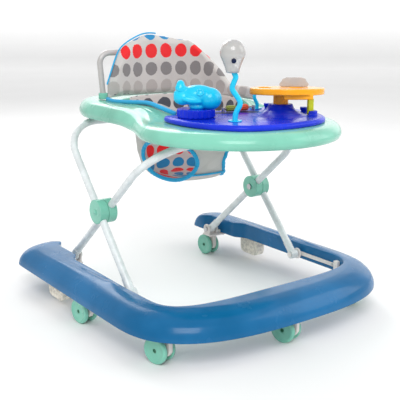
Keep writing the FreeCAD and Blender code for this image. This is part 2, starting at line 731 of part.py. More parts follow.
def steering_column():
    """Column that the steering wheel turns on, in the dome's bore."""
    x, y = WHEEL_XY
    return tilted(cyl(COLUMN_R, (x, y, COLUMN_LOW), (x, y, WHEEL_Z - WHEEL_T / 2.0)))


def paddle():
    """Flip paddle on a cross pin in its dish."""
    x, y = PADDLE_XY
    blade = box((x - 7.0, y - 2.5, CON_TOP + 3.0), (x + 7.0, y + 2.5, PADDLE_TOP))
    return fuse([blade, cyl(2.5, (x - 7.0, y, CON_TOP + 4.0), (x + 7.0, y, CON_TOP + 4.0))])


def button(x, y, r):
    """Round push button on its plunger."""
    cap = cyl(r, (x, y, CON_TOP + 3.6), (x, y, BUTTON_TOP))
    return fuse([cap, cyl(r - 2.0, (x, y, 426.0), (x, y, CON_TOP + 4.0))])


def roller_axle():
    """Wire between two posts that the rollers spin on."""
    wire = cyl(2.0, (POSTS_X[0], ROLLER_Y, ROLLER_Z), (POSTS_X[1], ROLLER_Y, ROLLER_Z))
    posts = [cyl(3.5, (x, ROLLER_Y, CON_TOP), (x, ROLLER_Y, ROLLER_Z + 2.5)) for x in POSTS_X]
    return fuse([wire] + posts)


def roller(x, r):
    """Fluted roller on the wire."""
    half = ROLLER_T / 2.0
    body = cyl(r, (x - half, ROLLER_Y, ROLLER_Z), (x + half, ROLLER_Y, ROLLER_Z))
    return body.cut(cyl(2.0 + RUN, (x - 20.0, ROLLER_Y, ROLLER_Z), (x + 20.0, ROLLER_Y, ROLLER_Z)))


# ---------------------------------------------------------------- seat and handle

def push_handle():
    """Tube hoop behind the seat that an adult pushes by."""
    lean = Vector(0, HOOP_LEAN, 0)
    foot = Vector(HOOP_X, HOOP_Y, TRAY_TOP + 1.0)
    top = Vector(HOOP_X, HOOP_Y, HOOP_TOP - HOOP_BEND) + lean
    bend = HOOP_BEND * (1.0 - math.sin(math.pi / 4))
    corner = Vector(HOOP_X - bend, HOOP_Y + HOOP_LEAN, HOOP_TOP - bend)
    bar = Vector(HOOP_X - HOOP_BEND, HOOP_Y + HOOP_LEAN, HOOP_TOP)
    left_foot, left_top, left_corner, left_bar = [Vector(-v.x, v.y, v.z) for v in (foot, top, corner, bar)]
    edges = [
        Part.makeLine(left_foot, left_top), Part.Arc(left_top, left_corner, left_bar).toShape(),
        Part.makeLine(left_bar, bar), Part.Arc(bar, corner, top).toShape(), Part.makeLine(top, foot),
    ]
    section = Part.Wire([Part.makeCircle(HOOP_R, left_foot, top - foot)])
    return Part.Wire(edges).makePipeShell([section], True, True)


def hoop_collar():
    """Collar round each post of the handle, resting on the tray."""
    post = Vector(HOOP_X, HOOP_Y + 1.0, 0)
    collar = Part.makeCylinder(10.5, 14.0, post + Vector(0, 0, TRAY_TOP + 0.2))
    bore = Part.makeCylinder(HOOP_R + 1.6, 40.0, post + Vector(0, 0, TRAY_TOP - 5.0))
    return both(collar.cut(bore))


def seat_back():
    """Padded back that wraps round behind the child and slopes down the right side."""
    low = TRAY_TOP + 1.5
    a, b = BACK_OUT
    outer = loft([oval(a, b, BACK_N, 0.0, z) for z in (low, BACK_TOP)])
    inner = loft([oval(a - BACK_PAD, b - BACK_PAD, BACK_N, 0.0, z) for z in (low - 5.0, BACK_TOP + 5.0)])
    wall = outer.cut(inner)
    side = [(BACK_SIDE[0][0], low)] + list(BACK_SIDE) + [(BACK_SIDE[-1][0], low)]
    front = [(BACK_FRONT[0][0], low)] + list(BACK_FRONT) + [(BACK_FRONT[-1][0], low)]
    wall = wall.common(profile(side, "x", -150.0, 150.0)).common(profile(front, "y", -150.0, 150.0))
    x, y = BACK_NEAR_END
    return wall.cut(box((-150.0, -150.0, low - 1.0), (x, y, BACK_TOP + 30.0)))


def leg_hole():
    """The right leg's opening through the sling, as an oval bar."""
    axis = Vector(*LEG_AXIS)
    axis.normalize()
    level = axis.cross(Vector(0, 0, 1))
    level.normalize()
    face = Part.Face(Part.Wire([Part.Ellipse(Vector(0, 0, 0), LEG_A, LEG_B).toShape()]))
    turn = FreeCAD.Rotation(level, level.cross(axis) * -1.0, axis, "ZXY")
    face.Placement = FreeCAD.Placement(Vector(*LEG_START), turn)
    return face.extrude(axis * 120.0)


def seat_sling():
    """Fabric bucket hung from the tray's opening, with a leg hole each side of the front strap."""
    outer = loft([oval(a, b, SLING_N, 0.0, z) for z, a, b in SLING_LEVELS])
    low, *middle, high = SLING_LEVELS
    inside = [(low[0] + SLING_T, low[1], low[2])] + middle + [(high[0] + 6.0, high[1], high[2])]
    inner = loft([oval(a - SLING_T, b - SLING_T, SLING_N, 0.0, z) for z, a, b in inside])
    bucket = outer.cut(inner)
    return bucket.cut(leg_hole()).cut(mirror_x(leg_hole()))


def save_all():
    """Writes every node."""
    save("base_shell", base_shell())
    save("slide_rails", slide_rail())
    save("rear_brackets", rear_bracket())
    save("rear_pivot_pins", rear_pivot_pin())
    save("stopper_pads", stopper_pad())
    save("pad_brackets", pad_bracket())
    save("caster_sockets", caster_sockets())
    save("base_screws", base_screws())
    save_casters()
    inner = bent_tube(INNER_X, REAR_PIVOT, INNER_TOP_Y, INNER_BEND, TUBE_R, TUBE_WALL)
    outer = bent_tube(OUTER_X, FRONT_PIVOT, OUTER_TOP_Y, OUTER_BEND, TUBE_R, TUBE_WALL)
    save("inner_tube", drilled(inner, 0.0))
    save("inner_leg_ends", leg_end(INNER_X, REAR_PIVOT))
    save("hub_inner_halves", hub_inner())
    save("hub_bolts", hub_bolt())
    save("outer_tube", drilled(outer, RUN))
    save("outer_leg_ends", leg_end(OUTER_X, FRONT_PIVOT))
    save("hub_outer_halves", hub_outer())
    save("hub_caps", hub_cap())
    save("slide_feet", slide_foot())
    save("tray_shell", tray_shell())
    save("crossbar_saddles", saddle())
    save("catch_racks", catch_rack())
    save("console", console())
    save("whale_dial", whale_dial())
    save("whale", whale())
    save("stem_feet", stem_feet())
    save("bulb_stem", bulb_stem())
    save("bulb", bulb())
    save("bulb_button", bulb_button())
    save("twist_stem", twist_stem())
    save("steering_wheel", steering_wheel())
    save("windscreen", windscreen())
    save("steering_column", steering_column())
    save("paddle", paddle())
    for i, (x, y, r) in enumerate(BUTTONS):
        save("push_button_%d" % (i + 1), button(x, y, r))
    save("roller_axle", roller_axle())
    for name, x, r in ROLLERS:
        save("roller_" + name, roller(x, r))
    save("push_handle", push_handle())
    save("hoop_collars", hoop_collar())
    save("seat_back", seat_back())
    save("seat_sling", seat_sling())


save_all()
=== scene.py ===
import json
import math

import bmesh
import bpy
import numpy as np
from mathutils import Matrix, Vector, noise
from mathutils.kdtree import KDTree


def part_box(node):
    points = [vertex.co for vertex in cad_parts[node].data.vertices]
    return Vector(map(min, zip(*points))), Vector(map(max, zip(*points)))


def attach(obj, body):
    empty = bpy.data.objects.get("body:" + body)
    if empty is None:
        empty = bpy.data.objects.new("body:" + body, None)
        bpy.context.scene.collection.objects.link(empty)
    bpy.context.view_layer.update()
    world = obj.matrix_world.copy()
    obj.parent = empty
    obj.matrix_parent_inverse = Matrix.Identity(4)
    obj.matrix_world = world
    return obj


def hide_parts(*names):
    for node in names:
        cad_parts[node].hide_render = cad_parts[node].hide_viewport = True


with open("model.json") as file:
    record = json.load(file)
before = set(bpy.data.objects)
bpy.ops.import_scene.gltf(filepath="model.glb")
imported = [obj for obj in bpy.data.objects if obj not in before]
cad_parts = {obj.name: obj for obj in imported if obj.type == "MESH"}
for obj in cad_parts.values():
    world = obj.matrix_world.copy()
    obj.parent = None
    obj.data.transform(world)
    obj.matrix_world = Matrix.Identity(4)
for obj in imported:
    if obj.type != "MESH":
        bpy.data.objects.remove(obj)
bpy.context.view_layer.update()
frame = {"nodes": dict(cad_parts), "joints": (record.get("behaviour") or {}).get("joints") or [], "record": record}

body_of_node = {n: b for b, ns in frame["record"]["behaviour"]["bodies"].items() for n in ns}

HUB_Y = 0.064       # the scissor hub's place along Y; lengths below are measured from the hub
TOY_TURN = math.radians(-36.0)


def at(x, y, z):
    """A point given in millimetres from the hub's line, in the frame's metres."""
    return Vector((x / 1000.0, y / 1000.0 + HUB_Y, z / 1000.0))


# ---------------------------------------------------------------- materials

def linear(rgb):
    """Display colour, 0 to 255, as linear light."""
    out = []
    for value in rgb:
        c = value / 255.0
        out.append(c / 12.92 if c <= 0.04045 else ((c + 0.055) / 1.055) ** 2.4)
    return (out[0], out[1], out[2], 1.0)


class Graph:
    """A material's nodes, with short calls for the ones used here."""

    def __init__(self, name):
        self.material = bpy.data.materials.new(name)
        self.material.use_nodes = True
        self.tree = self.material.node_tree
        self.shader = self.tree.nodes["Principled BSDF"]
        self.place = self.add("ShaderNodeTexCoord").outputs["Object"]

    def add(self, kind, **settings):
        node = self.tree.nodes.new(kind)
        for key, value in settings.items():
            setattr(node, key, value)
        return node

    def join(self, source, target):
        self.tree.links.new(source, target)

    def noise(self, scale, detail=3.0, stretch=None):
        """Noise in object space, as one number."""
        node = self.add("ShaderNodeTexNoise")
        node.inputs["Scale"].default_value = scale
        node.inputs["Detail"].default_value = detail
        if stretch is None:
            self.join(self.place, node.inputs["Vector"])
        else:
            mapping = self.add("ShaderNodeMapping")
            mapping.inputs["Scale"].default_value = stretch
            self.join(self.place, mapping.inputs["Vector"])
            self.join(mapping.outputs["Vector"], node.inputs["Vector"])
        return node.outputs["Fac"]

    def remap(self, source, low, high, to_low, to_high):
        node = self.add("ShaderNodeMapRange")
        for i, value in enumerate((low, high, to_low, to_high), 1):
            node.inputs[i].default_value = value
        self.join(source, node.inputs[0])
        return node.outputs[0]

    def math(self, operation, a, b=None):
        node = self.add("ShaderNodeMath", operation=operation)
        for i, value in enumerate((a, b)):
            if value is None:
                continue
            if isinstance(value, (int, float)):
                node.inputs[i].default_value = value
            else:
                self.join(value, node.inputs[i])
        return node.outputs[0]

    def mix(self, factor, a, b):
        node = self.add("ShaderNodeMix", data_type="RGBA")
        self.join(factor, node.inputs[0])
        for socket, value in ((node.inputs[6], a), (node.inputs[7], b)):
            if isinstance(value, tuple):
                socket.default_value = value
            else:
                self.join(value, socket)
        return node.outputs[2]

    def bump(self, height, strength, distance, under=None):
        node = self.add("ShaderNodeBump")
        node.inputs["Strength"].default_value = strength
        node.inputs["Distance"].default_value = distance
        self.join(height, node.inputs["Height"])
        if under is not None:
            self.join(under, node.inputs["Normal"])
        return node.outputs["Normal"]

    def attribute(self, name):
        return self.add("ShaderNodeAttribute", attribute_name=name).outputs["Fac"]


def plastic(name, rgb, rough=0.28, coat=0.2, grain=0.05, through=0.0, clear=0.0):
    """Moulded plastic: uneven tone, fine grain, duller patches and rubbed edges."""
    g = Graph(name)
    base = linear(rgb)
    dark = tuple(c * 0.86 for c in base[:3]) + (1.0,)
    light = tuple(min(1.0, c * 1.08 + 0.01) for c in base[:3]) + (1.0,)
    worn = tuple(c + (1.0 - c) * 0.3 for c in base[:3]) + (1.0,)
    tone = g.mix(g.remap(g.noise(9.0), 0.35, 0.65, 0.0, 1.0), dark, light)
    edge = g.remap(g.add("ShaderNodeNewGeometry").outputs["Pointiness"], 0.54, 0.62, 0.0, 0.6)
    scuff = g.remap(g.noise(70.0, 6.0), 0.45, 0.6, 0.0, 1.0)
    g.join(g.mix(g.math("MULTIPLY", edge, scuff), tone, worn), g.shader.inputs["Base Color"])
    dull = g.remap(g.noise(26.0, 5.0), 0.3, 0.7, max(0.03, rough - 0.06), rough + 0.1)
    g.join(dull, g.shader.inputs["Roughness"])
    waves = g.bump(g.noise(14.0, 1.0), 0.12, 0.002)
    g.join(g.bump(g.noise(1400.0, 2.0), grain, 0.0004, waves), g.shader.inputs["Normal"])
    g.shader.inputs["Coat Weight"].default_value = coat
    g.shader.inputs["Coat Roughness"].default_value = 0.08
    g.shader.inputs["Specular IOR Level"].default_value = 0.14 + 0.5 * coat
    g.shader.inputs["Transmission Weight"].default_value = clear
    g.shader.inputs["Subsurface Weight"].default_value = through
    g.shader.inputs["Subsurface Radius"].default_value = (0.004, 0.004, 0.004)
    return g.material


def metal(name, rgb, rough, metallic, coat=0.0):
    """Painted or bare metal with fine drawn lines and small flecks."""
    g = Graph(name)
    base = linear(rgb)
    dark = tuple(c * 0.85 for c in base[:3]) + (1.0,)
    flecks = g.remap(g.noise(40.0, 6.0), 0.35, 0.65, 0.0, 1.0)
    g.join(g.mix(flecks, dark, base), g.shader.inputs["Base Color"])
    g.join(g.remap(g.noise(90.0, 4.0), 0.3, 0.7, rough - 0.05, rough + 0.1), g.shader.inputs["Roughness"])
    drawn = g.noise(300.0, 3.0, (1.0, 0.15, 0.15))
    g.join(g.bump(drawn, 0.12, 0.0003), g.shader.inputs["Normal"])
    g.shader.inputs["Metallic"].default_value = metallic
    g.shader.inputs["Coat Weight"].default_value = coat
    return g.material


def rubber(name, rgb):
    """Matte rubber with a pitted skin."""
    g = Graph(name)
    base = linear(rgb)
    dark = tuple(c * 0.72 for c in base[:3]) + (1.0,)
    g.join(g.mix(g.remap(g.noise(120.0, 4.0), 0.4, 0.6, 0.0, 1.0), dark, base), g.shader.inputs["Base Color"])
    g.join(g.remap(g.noise(60.0), 0.3, 0.7, 0.6, 0.85), g.shader.inputs["Roughness"])
    g.join(g.bump(g.noise(500.0, 4.0), 0.4, 0.0008), g.shader.inputs["Normal"])
    return g.material


def weave(g, along, high, tint):
    """Finishes a fabric: painted shade in the weave's low points, a two-way weave bump and soft creases."""
    thread = 2.0 * math.pi / 0.0011
    warp = g.math("SINE", g.math("MULTIPLY", along, thread))
    weft = g.math("SINE", g.math("MULTIPLY", high, thread))
    cross = g.math("MULTIPLY", warp, weft)
    # painted shade: the weave's low points are darkened towards near-black, following the same pattern as the
    # weave bump
    weave_valley_shade = g.remap(cross, -1.0, 1.0, 0.12, 0.0)
    g.join(g.mix(weave_valley_shade, tint, (0.16, 0.15, 0.15, 1.0)), g.shader.inputs["Base Color"])
    creases = g.bump(g.noise(34.0, 5.0), 0.3, 0.004)
    g.join(g.bump(cross, 0.35, 0.0003, creases), g.shader.inputs["Normal"])
    g.join(g.remap(g.noise(50.0), 0.3, 0.7, 0.72, 0.9), g.shader.inputs["Roughness"])
    g.shader.inputs["Sheen Weight"].default_value = 0.12
    g.shader.inputs["Sheen Roughness"].default_value = 0.5


def dotted(name, ground, rows, pitch, radius, foot, start):
    """Woven cloth printed with rows of dots; each row from the foot up has its own colour."""
    g = Graph(name)
    along, high = g.attribute("along"), g.attribute("high")
    column = g.math("DIVIDE", g.math("SUBTRACT", along, start), pitch)
    row = g.math("DIVIDE", g.math("SUBTRACT", high, foot), pitch)
    du = g.math("SUBTRACT", g.math("FRACT", column), 0.5)
    dv = g.math("SUBTRACT", g.math("FRACT", row), 0.5)
    reach = g.math("SQRT", g.math("ADD", g.math("MULTIPLY", du, du), g.math("MULTIPLY", dv, dv)))
    inside = g.remap(reach, radius, radius + 0.02, 1.0, 0.0)
    ramp = g.add("ShaderNodeValToRGB")
    ramp.color_ramp.interpolation = "CONSTANT"
    while len(ramp.color_ramp.elements) < len(rows):
        ramp.color_ramp.elements.new(1.0)
    for i, rgb in enumerate(rows):
        ramp.color_ramp.elements[i].position = i / len(rows)
        ramp.color_ramp.elements[i].color = linear(rgb)
    g.join(g.math("DIVIDE", row, float(len(rows))), ramp.inputs["Fac"])
    blotch = g.remap(g.noise(22.0, 4.0), 0.3, 0.7, 0.0, 0.35)
    cloth = g.mix(blotch, linear(ground), linear([c * 0.9 for c in ground]))
    weave(g, along, high, g.mix(inside, cloth, ramp.outputs["Color"]))
    return g.material


def tape(name, rgb):
    """Ribbed binding tape."""
    g = Graph(name)
    weave(g, g.math("MULTIPLY", g.noise(300.0), 0.01), g.noise(200.0), linear(rgb))
    return g.material


BLUE = plastic("base_blue", (0, 98, 150), rough=0.2, coat=0.12)
MINT = plastic("mint", (122, 194, 172), rough=0.2, coat=0.3, through=0.05)
GREEN_AND_GAP_SHADE = plastic("green_and_gap_shade", (8, 96, 66), rough=0.4, coat=0.1)
ROYAL = plastic("royal_blue", (0, 42, 205), rough=0.24, coat=0.08)
# painted shade: this dark blue stands in for the shade in the console's recesses
RECESS_SHADE_BLUE = plastic("painted_recess_shade", (4, 14, 84), rough=0.35, coat=0.1)
SKY = plastic("sky_blue", (14, 202, 240), rough=0.22, coat=0.25, through=0.05)
ORANGE = plastic("orange", (255, 164, 0), rough=0.25, coat=0.25)
LIME = plastic("lime", (222, 232, 24), rough=0.3)
OLIVE = plastic("olive", (140, 150, 50), rough=0.3)
CORAL = plastic("coral", (244, 84, 32), rough=0.3)
SMOKE = plastic("smoke", (212, 210, 208), rough=0.14, coat=0.5, clear=0.3)
PEARL = plastic("pearl", (200, 199, 197), rough=0.14, coat=0.5, clear=0.3)
WHITE = plastic("bracket_white", (228, 222, 218), rough=0.4, coat=0.1)
# painted shade: this dark navy on the rattle's button stands in for the shade of the hole it sits in
BUTTON_HOLE_SHADE = plastic("navy", (20, 26, 60), rough=0.3)
TUBE = metal("tube_white", (226, 232, 233), 0.25, 0.0, 0.6)
HOOP = metal("hoop_grey", (190, 187, 185), 0.35, 0.1, 0.3)
STEEL = metal("steel", (190, 190, 192), 0.3, 1.0)
PAD = rubber("pad_beige", (246, 240, 226))
PIPING = tape("piping_cyan", (20, 172, 226))
THREAD = tape("thread_navy", (58, 64, 84))
GROUND = (208, 204, 200)
SLATE, DOT_RED, DOT_BLUE = (70, 76, 86), (240, 14, 24), (0, 134, 190)
BACK_ROWS = (SLATE, (182, 176, 172), (134, 130, 130), DOT_RED, DOT_BLUE)
BACK_CLOTH = dotted("back_cloth", GROUND, BACK_ROWS, 0.0405, 0.38, 0.403, 0.0138)
SLING_ROWS = (DOT_RED, DOT_BLUE) * 3 + (DOT_RED, SLATE)
SLING_CLOTH = dotted("sling_cloth", GROUND, SLING_ROWS, 0.036, 0.4, 0.153, 0.0)
SLING_BACK = dotted("sling_outside", GROUND, (GROUND, GROUND), 0.036, 0.4, 0.153, 0.0)

# the CAD nodes that stay as they are
for node, material in {
    "inner_tube": TUBE, "outer_tube": TUBE, "push_handle": HOOP, "hub_bolts": STEEL, "rear_pivot_pins": STEEL,
    "base_screws": STEEL, "roller_axle": STEEL, "caster_sockets": BLUE, "pad_brackets": WHITE,
}.items():
    frame["nodes"][node].data.materials.clear()
    frame["nodes"][node].data.materials.append(material)
for node, obj in frame["nodes"].items():
    if node.startswith("caster_axle"):
        obj.data.materials.clear()
        obj.data.materials.append(STEEL)


# ---------------------------------------------------------------- mesh helpers

def piece(name, verts, faces, material, body, smooth=True):
    """A new mesh object that rides on a body."""
    mesh = bpy.data.meshes.new(name)
    mesh.from_pydata([tuple(v) for v in verts], [], faces)
    mesh.materials.append(material)
    obj = bpy.data.objects.new(name, mesh)
    bpy.context.scene.collection.objects.link(obj)
    tidy_mesh(obj)
    if smooth:
        mesh.shade_smooth()
    if body:
        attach(obj, body)
    return obj


def tidy_mesh(obj):
    """Merges doubled points and points every face outwards."""
    bm = bmesh.new()
    bm.from_mesh(obj.data)
    bmesh.ops.remove_doubles(bm, verts=bm.verts, dist=1e-6)
    bmesh.ops.recalc_face_normals(bm, faces=bm.faces)
    bm.to_mesh(obj.data)
    bm.free()


def settle(obj):
    """Applies an object's modifiers to its mesh."""
    bpy.context.view_layer.update()
    graph = bpy.context.evaluated_depsgraph_get()
    mesh = bpy.data.meshes.new_from_object(obj.evaluated_get(graph))
    obj.modifiers.clear()
    obj.data = mesh
    mesh.shade_smooth()


def soften(nodes, name, material, voxel=1.0, rounds=6, slack=0.0):
    """CAD nodes of one body made again as one moulding with rounded edges.

    slack makes it thinner all round, in millimetres, where it runs close to another body.
    """
    bm = bmesh.new()
    for node in nodes:
        bm.from_mesh(frame["nodes"][node].data)
    mesh = bpy.data.meshes.new(name)
    bm.to_mesh(mesh)
    bm.free()
    mesh.materials.clear()
    mesh.materials.append(material)
    obj = bpy.data.objects.new(name, mesh)
    bpy.context.scene.collection.objects.link(obj)
    remesh = obj.modifiers.new("grid", "REMESH")
    remesh.mode = "VOXEL"
    remesh.voxel_size = voxel / 1000.0
    relax = obj.modifiers.new("round", "SMOOTH")
    relax.factor = 0.5
    relax.iterations = rounds
    settle(obj)
    if slack:
        inward = [vert.normal * (-slack / 1000.0) for vert in obj.data.vertices]
        for vert, move in zip(obj.data.vertices, inward):
            vert.co += move
    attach(obj, body_of_node[nodes[0]])
    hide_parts(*nodes)
    return obj


def lathe(name, profile, origin, axis, material, body, steps=64):
    """A turned piece: profile is (radius, distance along the axis) in millimetres."""
    turn = Vector((0, 0, 1)).rotation_difference(Vector(axis).normalized()).to_matrix()
    verts, faces = [], []
    for i in range(steps):
        angle = 2.0 * math.pi * i / steps
        for radius, along in profile:
            local = Vector((radius * math.cos(angle), radius * math.sin(angle), along)) / 1000.0
            verts.append(origin + turn @ local)
    count = len(profile)
    for i in range(steps):
        for j in range(count - 1):
            a, b = i * count + j, ((i + 1) % steps) * count + j
            faces.append((a, b, b + 1, a + 1))
    return piece(name, verts, faces, material, body)


def rope(name, points, radius, material, body, closed=False):
    """A round tube of constant thickness along a smooth line through points."""
    curve = bpy.data.curves.new(name, "CURVE")
    curve.dimensions = "3D"
    curve.bevel_depth = radius / 1000.0
    curve.bevel_resolution = 4
    curve.use_fill_caps = True
    curve.resolution_u = 4
    spline = curve.splines.new("NURBS")
    spline.points.add(len(points) - 1)
    for target, point in zip(spline.points, points):
        target.co = (point[0], point[1], point[2], 1.0)
    spline.order_u = 3
    spline.use_endpoint_u = not closed
    spline.use_cyclic_u = closed
    curve.materials.append(material)
    maker = bpy.data.objects.new(name + "_line", curve)
    bpy.context.scene.collection.objects.link(maker)
    bpy.context.view_layer.update()
    mesh = bpy.data.meshes.new_from_object(maker.evaluated_get(bpy.context.evaluated_depsgraph_get()))
    bpy.data.objects.remove(maker)
    obj = bpy.data.objects.new(name, mesh)
    bpy.context.scene.collection.objects.link(obj)
    mesh.shade_smooth()
    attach(obj, body)
    return obj


def power(value, exponent):
    return math.copysign(abs(value) ** exponent, value)


def oval(a, b, n, cy, degrees):
    """A superellipse's plan point, in millimetres from the hub."""
    t = math.radians(degrees)
    return a * power(math.cos(t), 2.0 / n), cy + b * power(math.sin(t), 2.0 / n)


def thicken(obj, thickness, levels=1, inner_material=0):
    """Gives an open skin its wall and smooths it."""
    wall = obj.modifiers.new("wall", "SOLIDIFY")
    wall.thickness = thickness / 1000.0
    wall.offset = -1.0
    wall.material_offset = inner_material
    if levels:
        smooth = obj.modifiers.new("smooth", "SUBSURF")
        smooth.levels = levels
        smooth.render_levels = levels
    settle(obj)


def face_up(obj):
    """Turns an open skin over if its faces point down on the whole."""
    if sum(p.normal.z * p.area for p in obj.data.polygons) < 0.0:
        obj.data.flip_normals()


# ---------------------------------------------------------------- base

BASE_HEIGHTS = (54.5, 66.0, 80.0, 91.0, 98.0, 101.0)
BASE_HALF = (310.0, 308.5, 302.0, 290.0, 275.0, 258.0)
BASE_DEPTH = (203.0, 201.5, 195.0, 183.0, 168.0, 150.0)
BASE_REAR = (272.0, 270.0, 264.0, 253.0, 240.0, 225.0)
BASE_GAP = 244.0
FRONT_CY = -200.0


def ease(value, low, high):
    """A smooth step from 0 to 1."""
    t = min(1.0, max(0.0, (value - low) / (high - low)))
    return t * t * (3.0 - 2.0 * t)


def inner_x(y):
    """Half the gap between the arms; they thicken beside the rear brackets and again at their tips."""
    return BASE_GAP - 18.0 * ease(y, 80.0, 104.0) - 18.0 * ease(y, 194.0, 214.0)


def tip_round(y, rear):
    """How far the arm's inner corner is rounded off near its rear end."""
    t = min(1.0, max(0.0, (y - rear + 18.0) / 18.0))
    return 18.0 * (1.0 - math.sqrt(1.0 - t * t))


def base_chains(z, lift):
    """Outer and inner plan chains at a height, with equal numbers of points."""
    half = np.interp(z, BASE_HEIGHTS, BASE_HALF)
    depth = np.interp(z, BASE_HEIGHTS, BASE_DEPTH)
    rear = np.interp(z, BASE_HEIGHTS, BASE_REAR)
    tip = inner_x(rear) + lift + 18.0
    turn = min(42.0, half - tip - 2.0)
    right = [(tip + (half - turn - tip) * i / 5.0, rear) for i in range(5)]
    for i in range(10):
        x, y = oval(turn, 42.0, 2.2, rear - 42.0, 90.0 - 9.0 * i)
        right.append((half - turn + x, y))
    right += [(half, rear - 42.0 + (FRONT_CY - rear + 42.0) * i / 28.0) for i in range(28)]
    front = [oval(half, depth, 2.8, FRONT_CY, -180.0 * i / 72.0) for i in range(73)]
    outer = right + front + [(-x, y) for x, y in reversed(right)]
    steps = len(right)
    inside = []
    for i in range(steps):
        y = rear + (FRONT_CY - rear) * (i / steps) ** 1.3
        inside.append((inner_x(y) + lift + tip_round(y, rear), y))
    bow = [oval(BASE_GAP + lift, 114.0 + lift, 4.0, FRONT_CY, -180.0 * i / 72.0) for i in range(73)]
    return outer, inside + bow + [(-x, y) for x, y in reversed(inside)]


def swell(x, y):
    """The long ridge and the groove beside it that run along each arm's top."""
    ridge = 0.0
    for side in (-1.0, 1.0):
        middle = side * (266.0 + 8.0 * math.sin((y + 60.0) / 120.0))
        reach = math.exp(-((y + 20.0) / 150.0) ** 4)
        ridge += reach * (1.8 * math.exp(-((x - middle) / 7.0) ** 2))
        ridge -= reach * (2.2 * math.exp(-((x - middle + side * 13.0) / 6.0) ** 2))
        ridge += 2.4 * math.exp(-(((x - side * 256.0) / 6.0) ** 2 + ((y + 110.0) / 13.0) ** 2) ** 2)
    return ridge


def make_base():
    """The base's moulded cover: rows of plan chains up the outside, over the top and down the inside."""
    outer_z = (54.5, 58.0, 63.0, 69.0, 75.0, 81.0, 86.5, 91.0, 94.8, 98.0, 100.0, 101.0)
    inner_z = ((101.0, 4.0), (100.2, 1.2), (98.0, 0.0), (90.0, 0.0), (76.0, 0.0), (62.0, 0.0))
    rows = [[(x, y, z) for x, y in base_chains(z, 0.0)[0]] for z in outer_z]
    edge_out = base_chains(101.0, 4.0)[0]
    edge_in = base_chains(101.0, 4.0)[1]
    for f in (0.2, 0.4, 0.6, 0.8):
        rows.append([(a[0] + (b[0] - a[0]) * f, a[1] + (b[1] - a[1]) * f, 101.0)
                     for a, b in zip(edge_out, edge_in)])
    rows += [[(x, y, z) for x, y in base_chains(z, lift)[1]] for z, lift in inner_z]
    verts = []
    for row in rows:
        for x, y, z in row:
            verts.append(at(x, y, z + (swell(x, y) if z > 85.0 else 0.0)))
    count = len(rows[0])
    faces = []
    for j in range(len(rows) - 1):
        for i in range(count - 1):
            a = j * count + i
            faces.append((a, a + 1, a + count + 1, a + count))
    obj = piece("base_cover", verts, faces, BLUE, None)
    face_up(obj)
    thicken(obj, 2.6)
    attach(obj, "base")
    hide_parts("base_shell")


make_base()
soften(["slide_rails"], "rail_strips", WHITE)
soften(["rear_brackets"], "rear_clevises", WHITE, 0.9, 4)
soften(["slide_feet"], "sliding_shoes", WHITE, 0.6, 3, 0.4)
soften(["inner_leg_ends"], "inner_leg_sleeves", TUBE, 0.8, 4)
soften(["outer_leg_ends"], "outer_leg_sleeves", TUBE, 0.6, 3, 0.2)
soften(["hub_inner_halves"], "inner_hub_discs", MINT, 0.8, 6)
soften(["hub_outer_halves"], "outer_hub_discs", MINT, 0.8, 6)
soften(["hub_caps"], "hub_screw_caps", MINT, 0.4, 3)


# ---------------------------------------------------------------- stopper pads

def make_pads():
    """Rubber pads with a tread of raised lozenges on both faces."""
    soften(["stopper_pads"], "brake_pads", PAD, 1.0, 6)
    low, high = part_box("stopper_pads")
    middle = (low.y + high.y) / 2.0
    corners = ((0.004, 0, 0), (0, 0.004, 0), (-0.004, 0, 0), (0, -0.004, 0), (0, 0, 0.0016))
    verts, faces = [], []
    for side in (-1.0, 1.0):
        for out in (-1.0, 1.0):
            x = side * (0.277 + out * 0.0112)
            for i in range(-3, 4):
                for j in range(3):
                    y = middle + 0.0115 * i + (0.005 if j % 2 else 0.0)
                    z = 0.024 + 0.0105 * j
                    if abs(y - middle) > 0.028:
                        continue
                    start = len(verts)
                    for dy, dz, dx in corners:
                        verts.append((x + side * out * dx, y + dy, z + dz))
                    faces += [(start + k, start + (k + 1) % 4, start + 4) for k in range(4)]
                    faces.append((start + 3, start + 2, start + 1, start))
    tread = piece("brake_pad_treads", verts, faces, PAD, None, smooth=False)
    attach(tread, "base")


make_pads()


# ---------------------------------------------------------------- casters

def make_caster(name):
    """Two rounded tread discs with their cores, hub caps and the moulded blade; the cores' dark green between the
    discs is painted shade of the gap.
    """
    low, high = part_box("caster_axle_" + name)
    centre = (low + high) / 2.0
    along = next(j["axis"] for j in frame["joints"] if j["name"] == "roll_" + name)
    for side, word in ((-1.0, "a"), (1.0, "b")):
        axis = Vector(along) * side
        disc = ((18.0, 7.4), (24.0, 7.4), (25.7, 8.0), (26.5, 9.8), (26.5, 12.6), (26.0, 14.6), (24.6, 16.0),
                (22.4, 16.5), (20.6, 16.2), (19.8, 15.5), (12.0, 15.3), (6.6, 15.4), (5.4, 15.9), (4.6, 15.6),
                (4.2, 14.2), (0.01, 14.0))
        tread = lathe("wheel_%s_%s" % (name, word), disc, centre, axis, MINT, "wheel_" + name)
        # painted shade: the dark green core between the discs stands in for the shade in the gap between them
        core = ((3.0, 5.4), (17.0, 5.4), (18.4, 6.0), (18.4, 7.6), (24.0, 7.7))
        hub = lathe("core_%s_%s" % (name, word), core, centre, axis, GREEN_AND_GAP_SHADE, "wheel_" + name)
        plug = ((3.9, 14.2), (3.7, 15.1), (2.6, 15.3), (2.2, 14.6), (0.01, 14.5))
        cap = lathe("plug_%s_%s" % (name, word), plug, centre, axis, GREEN_AND_GAP_SHADE, "wheel_" + name, 24)
        if side < 0:
            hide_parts("caster_wheel_" + name)
    soften(["caster_fork_" + name], "blade_" + name, WHITE, 0.7, 5)


for caster in ("front_left", "front_right", "front_centre", "side_left", "rear_left", "rear_right"):
    make_caster(caster)


# ---------------------------------------------------------------- tray

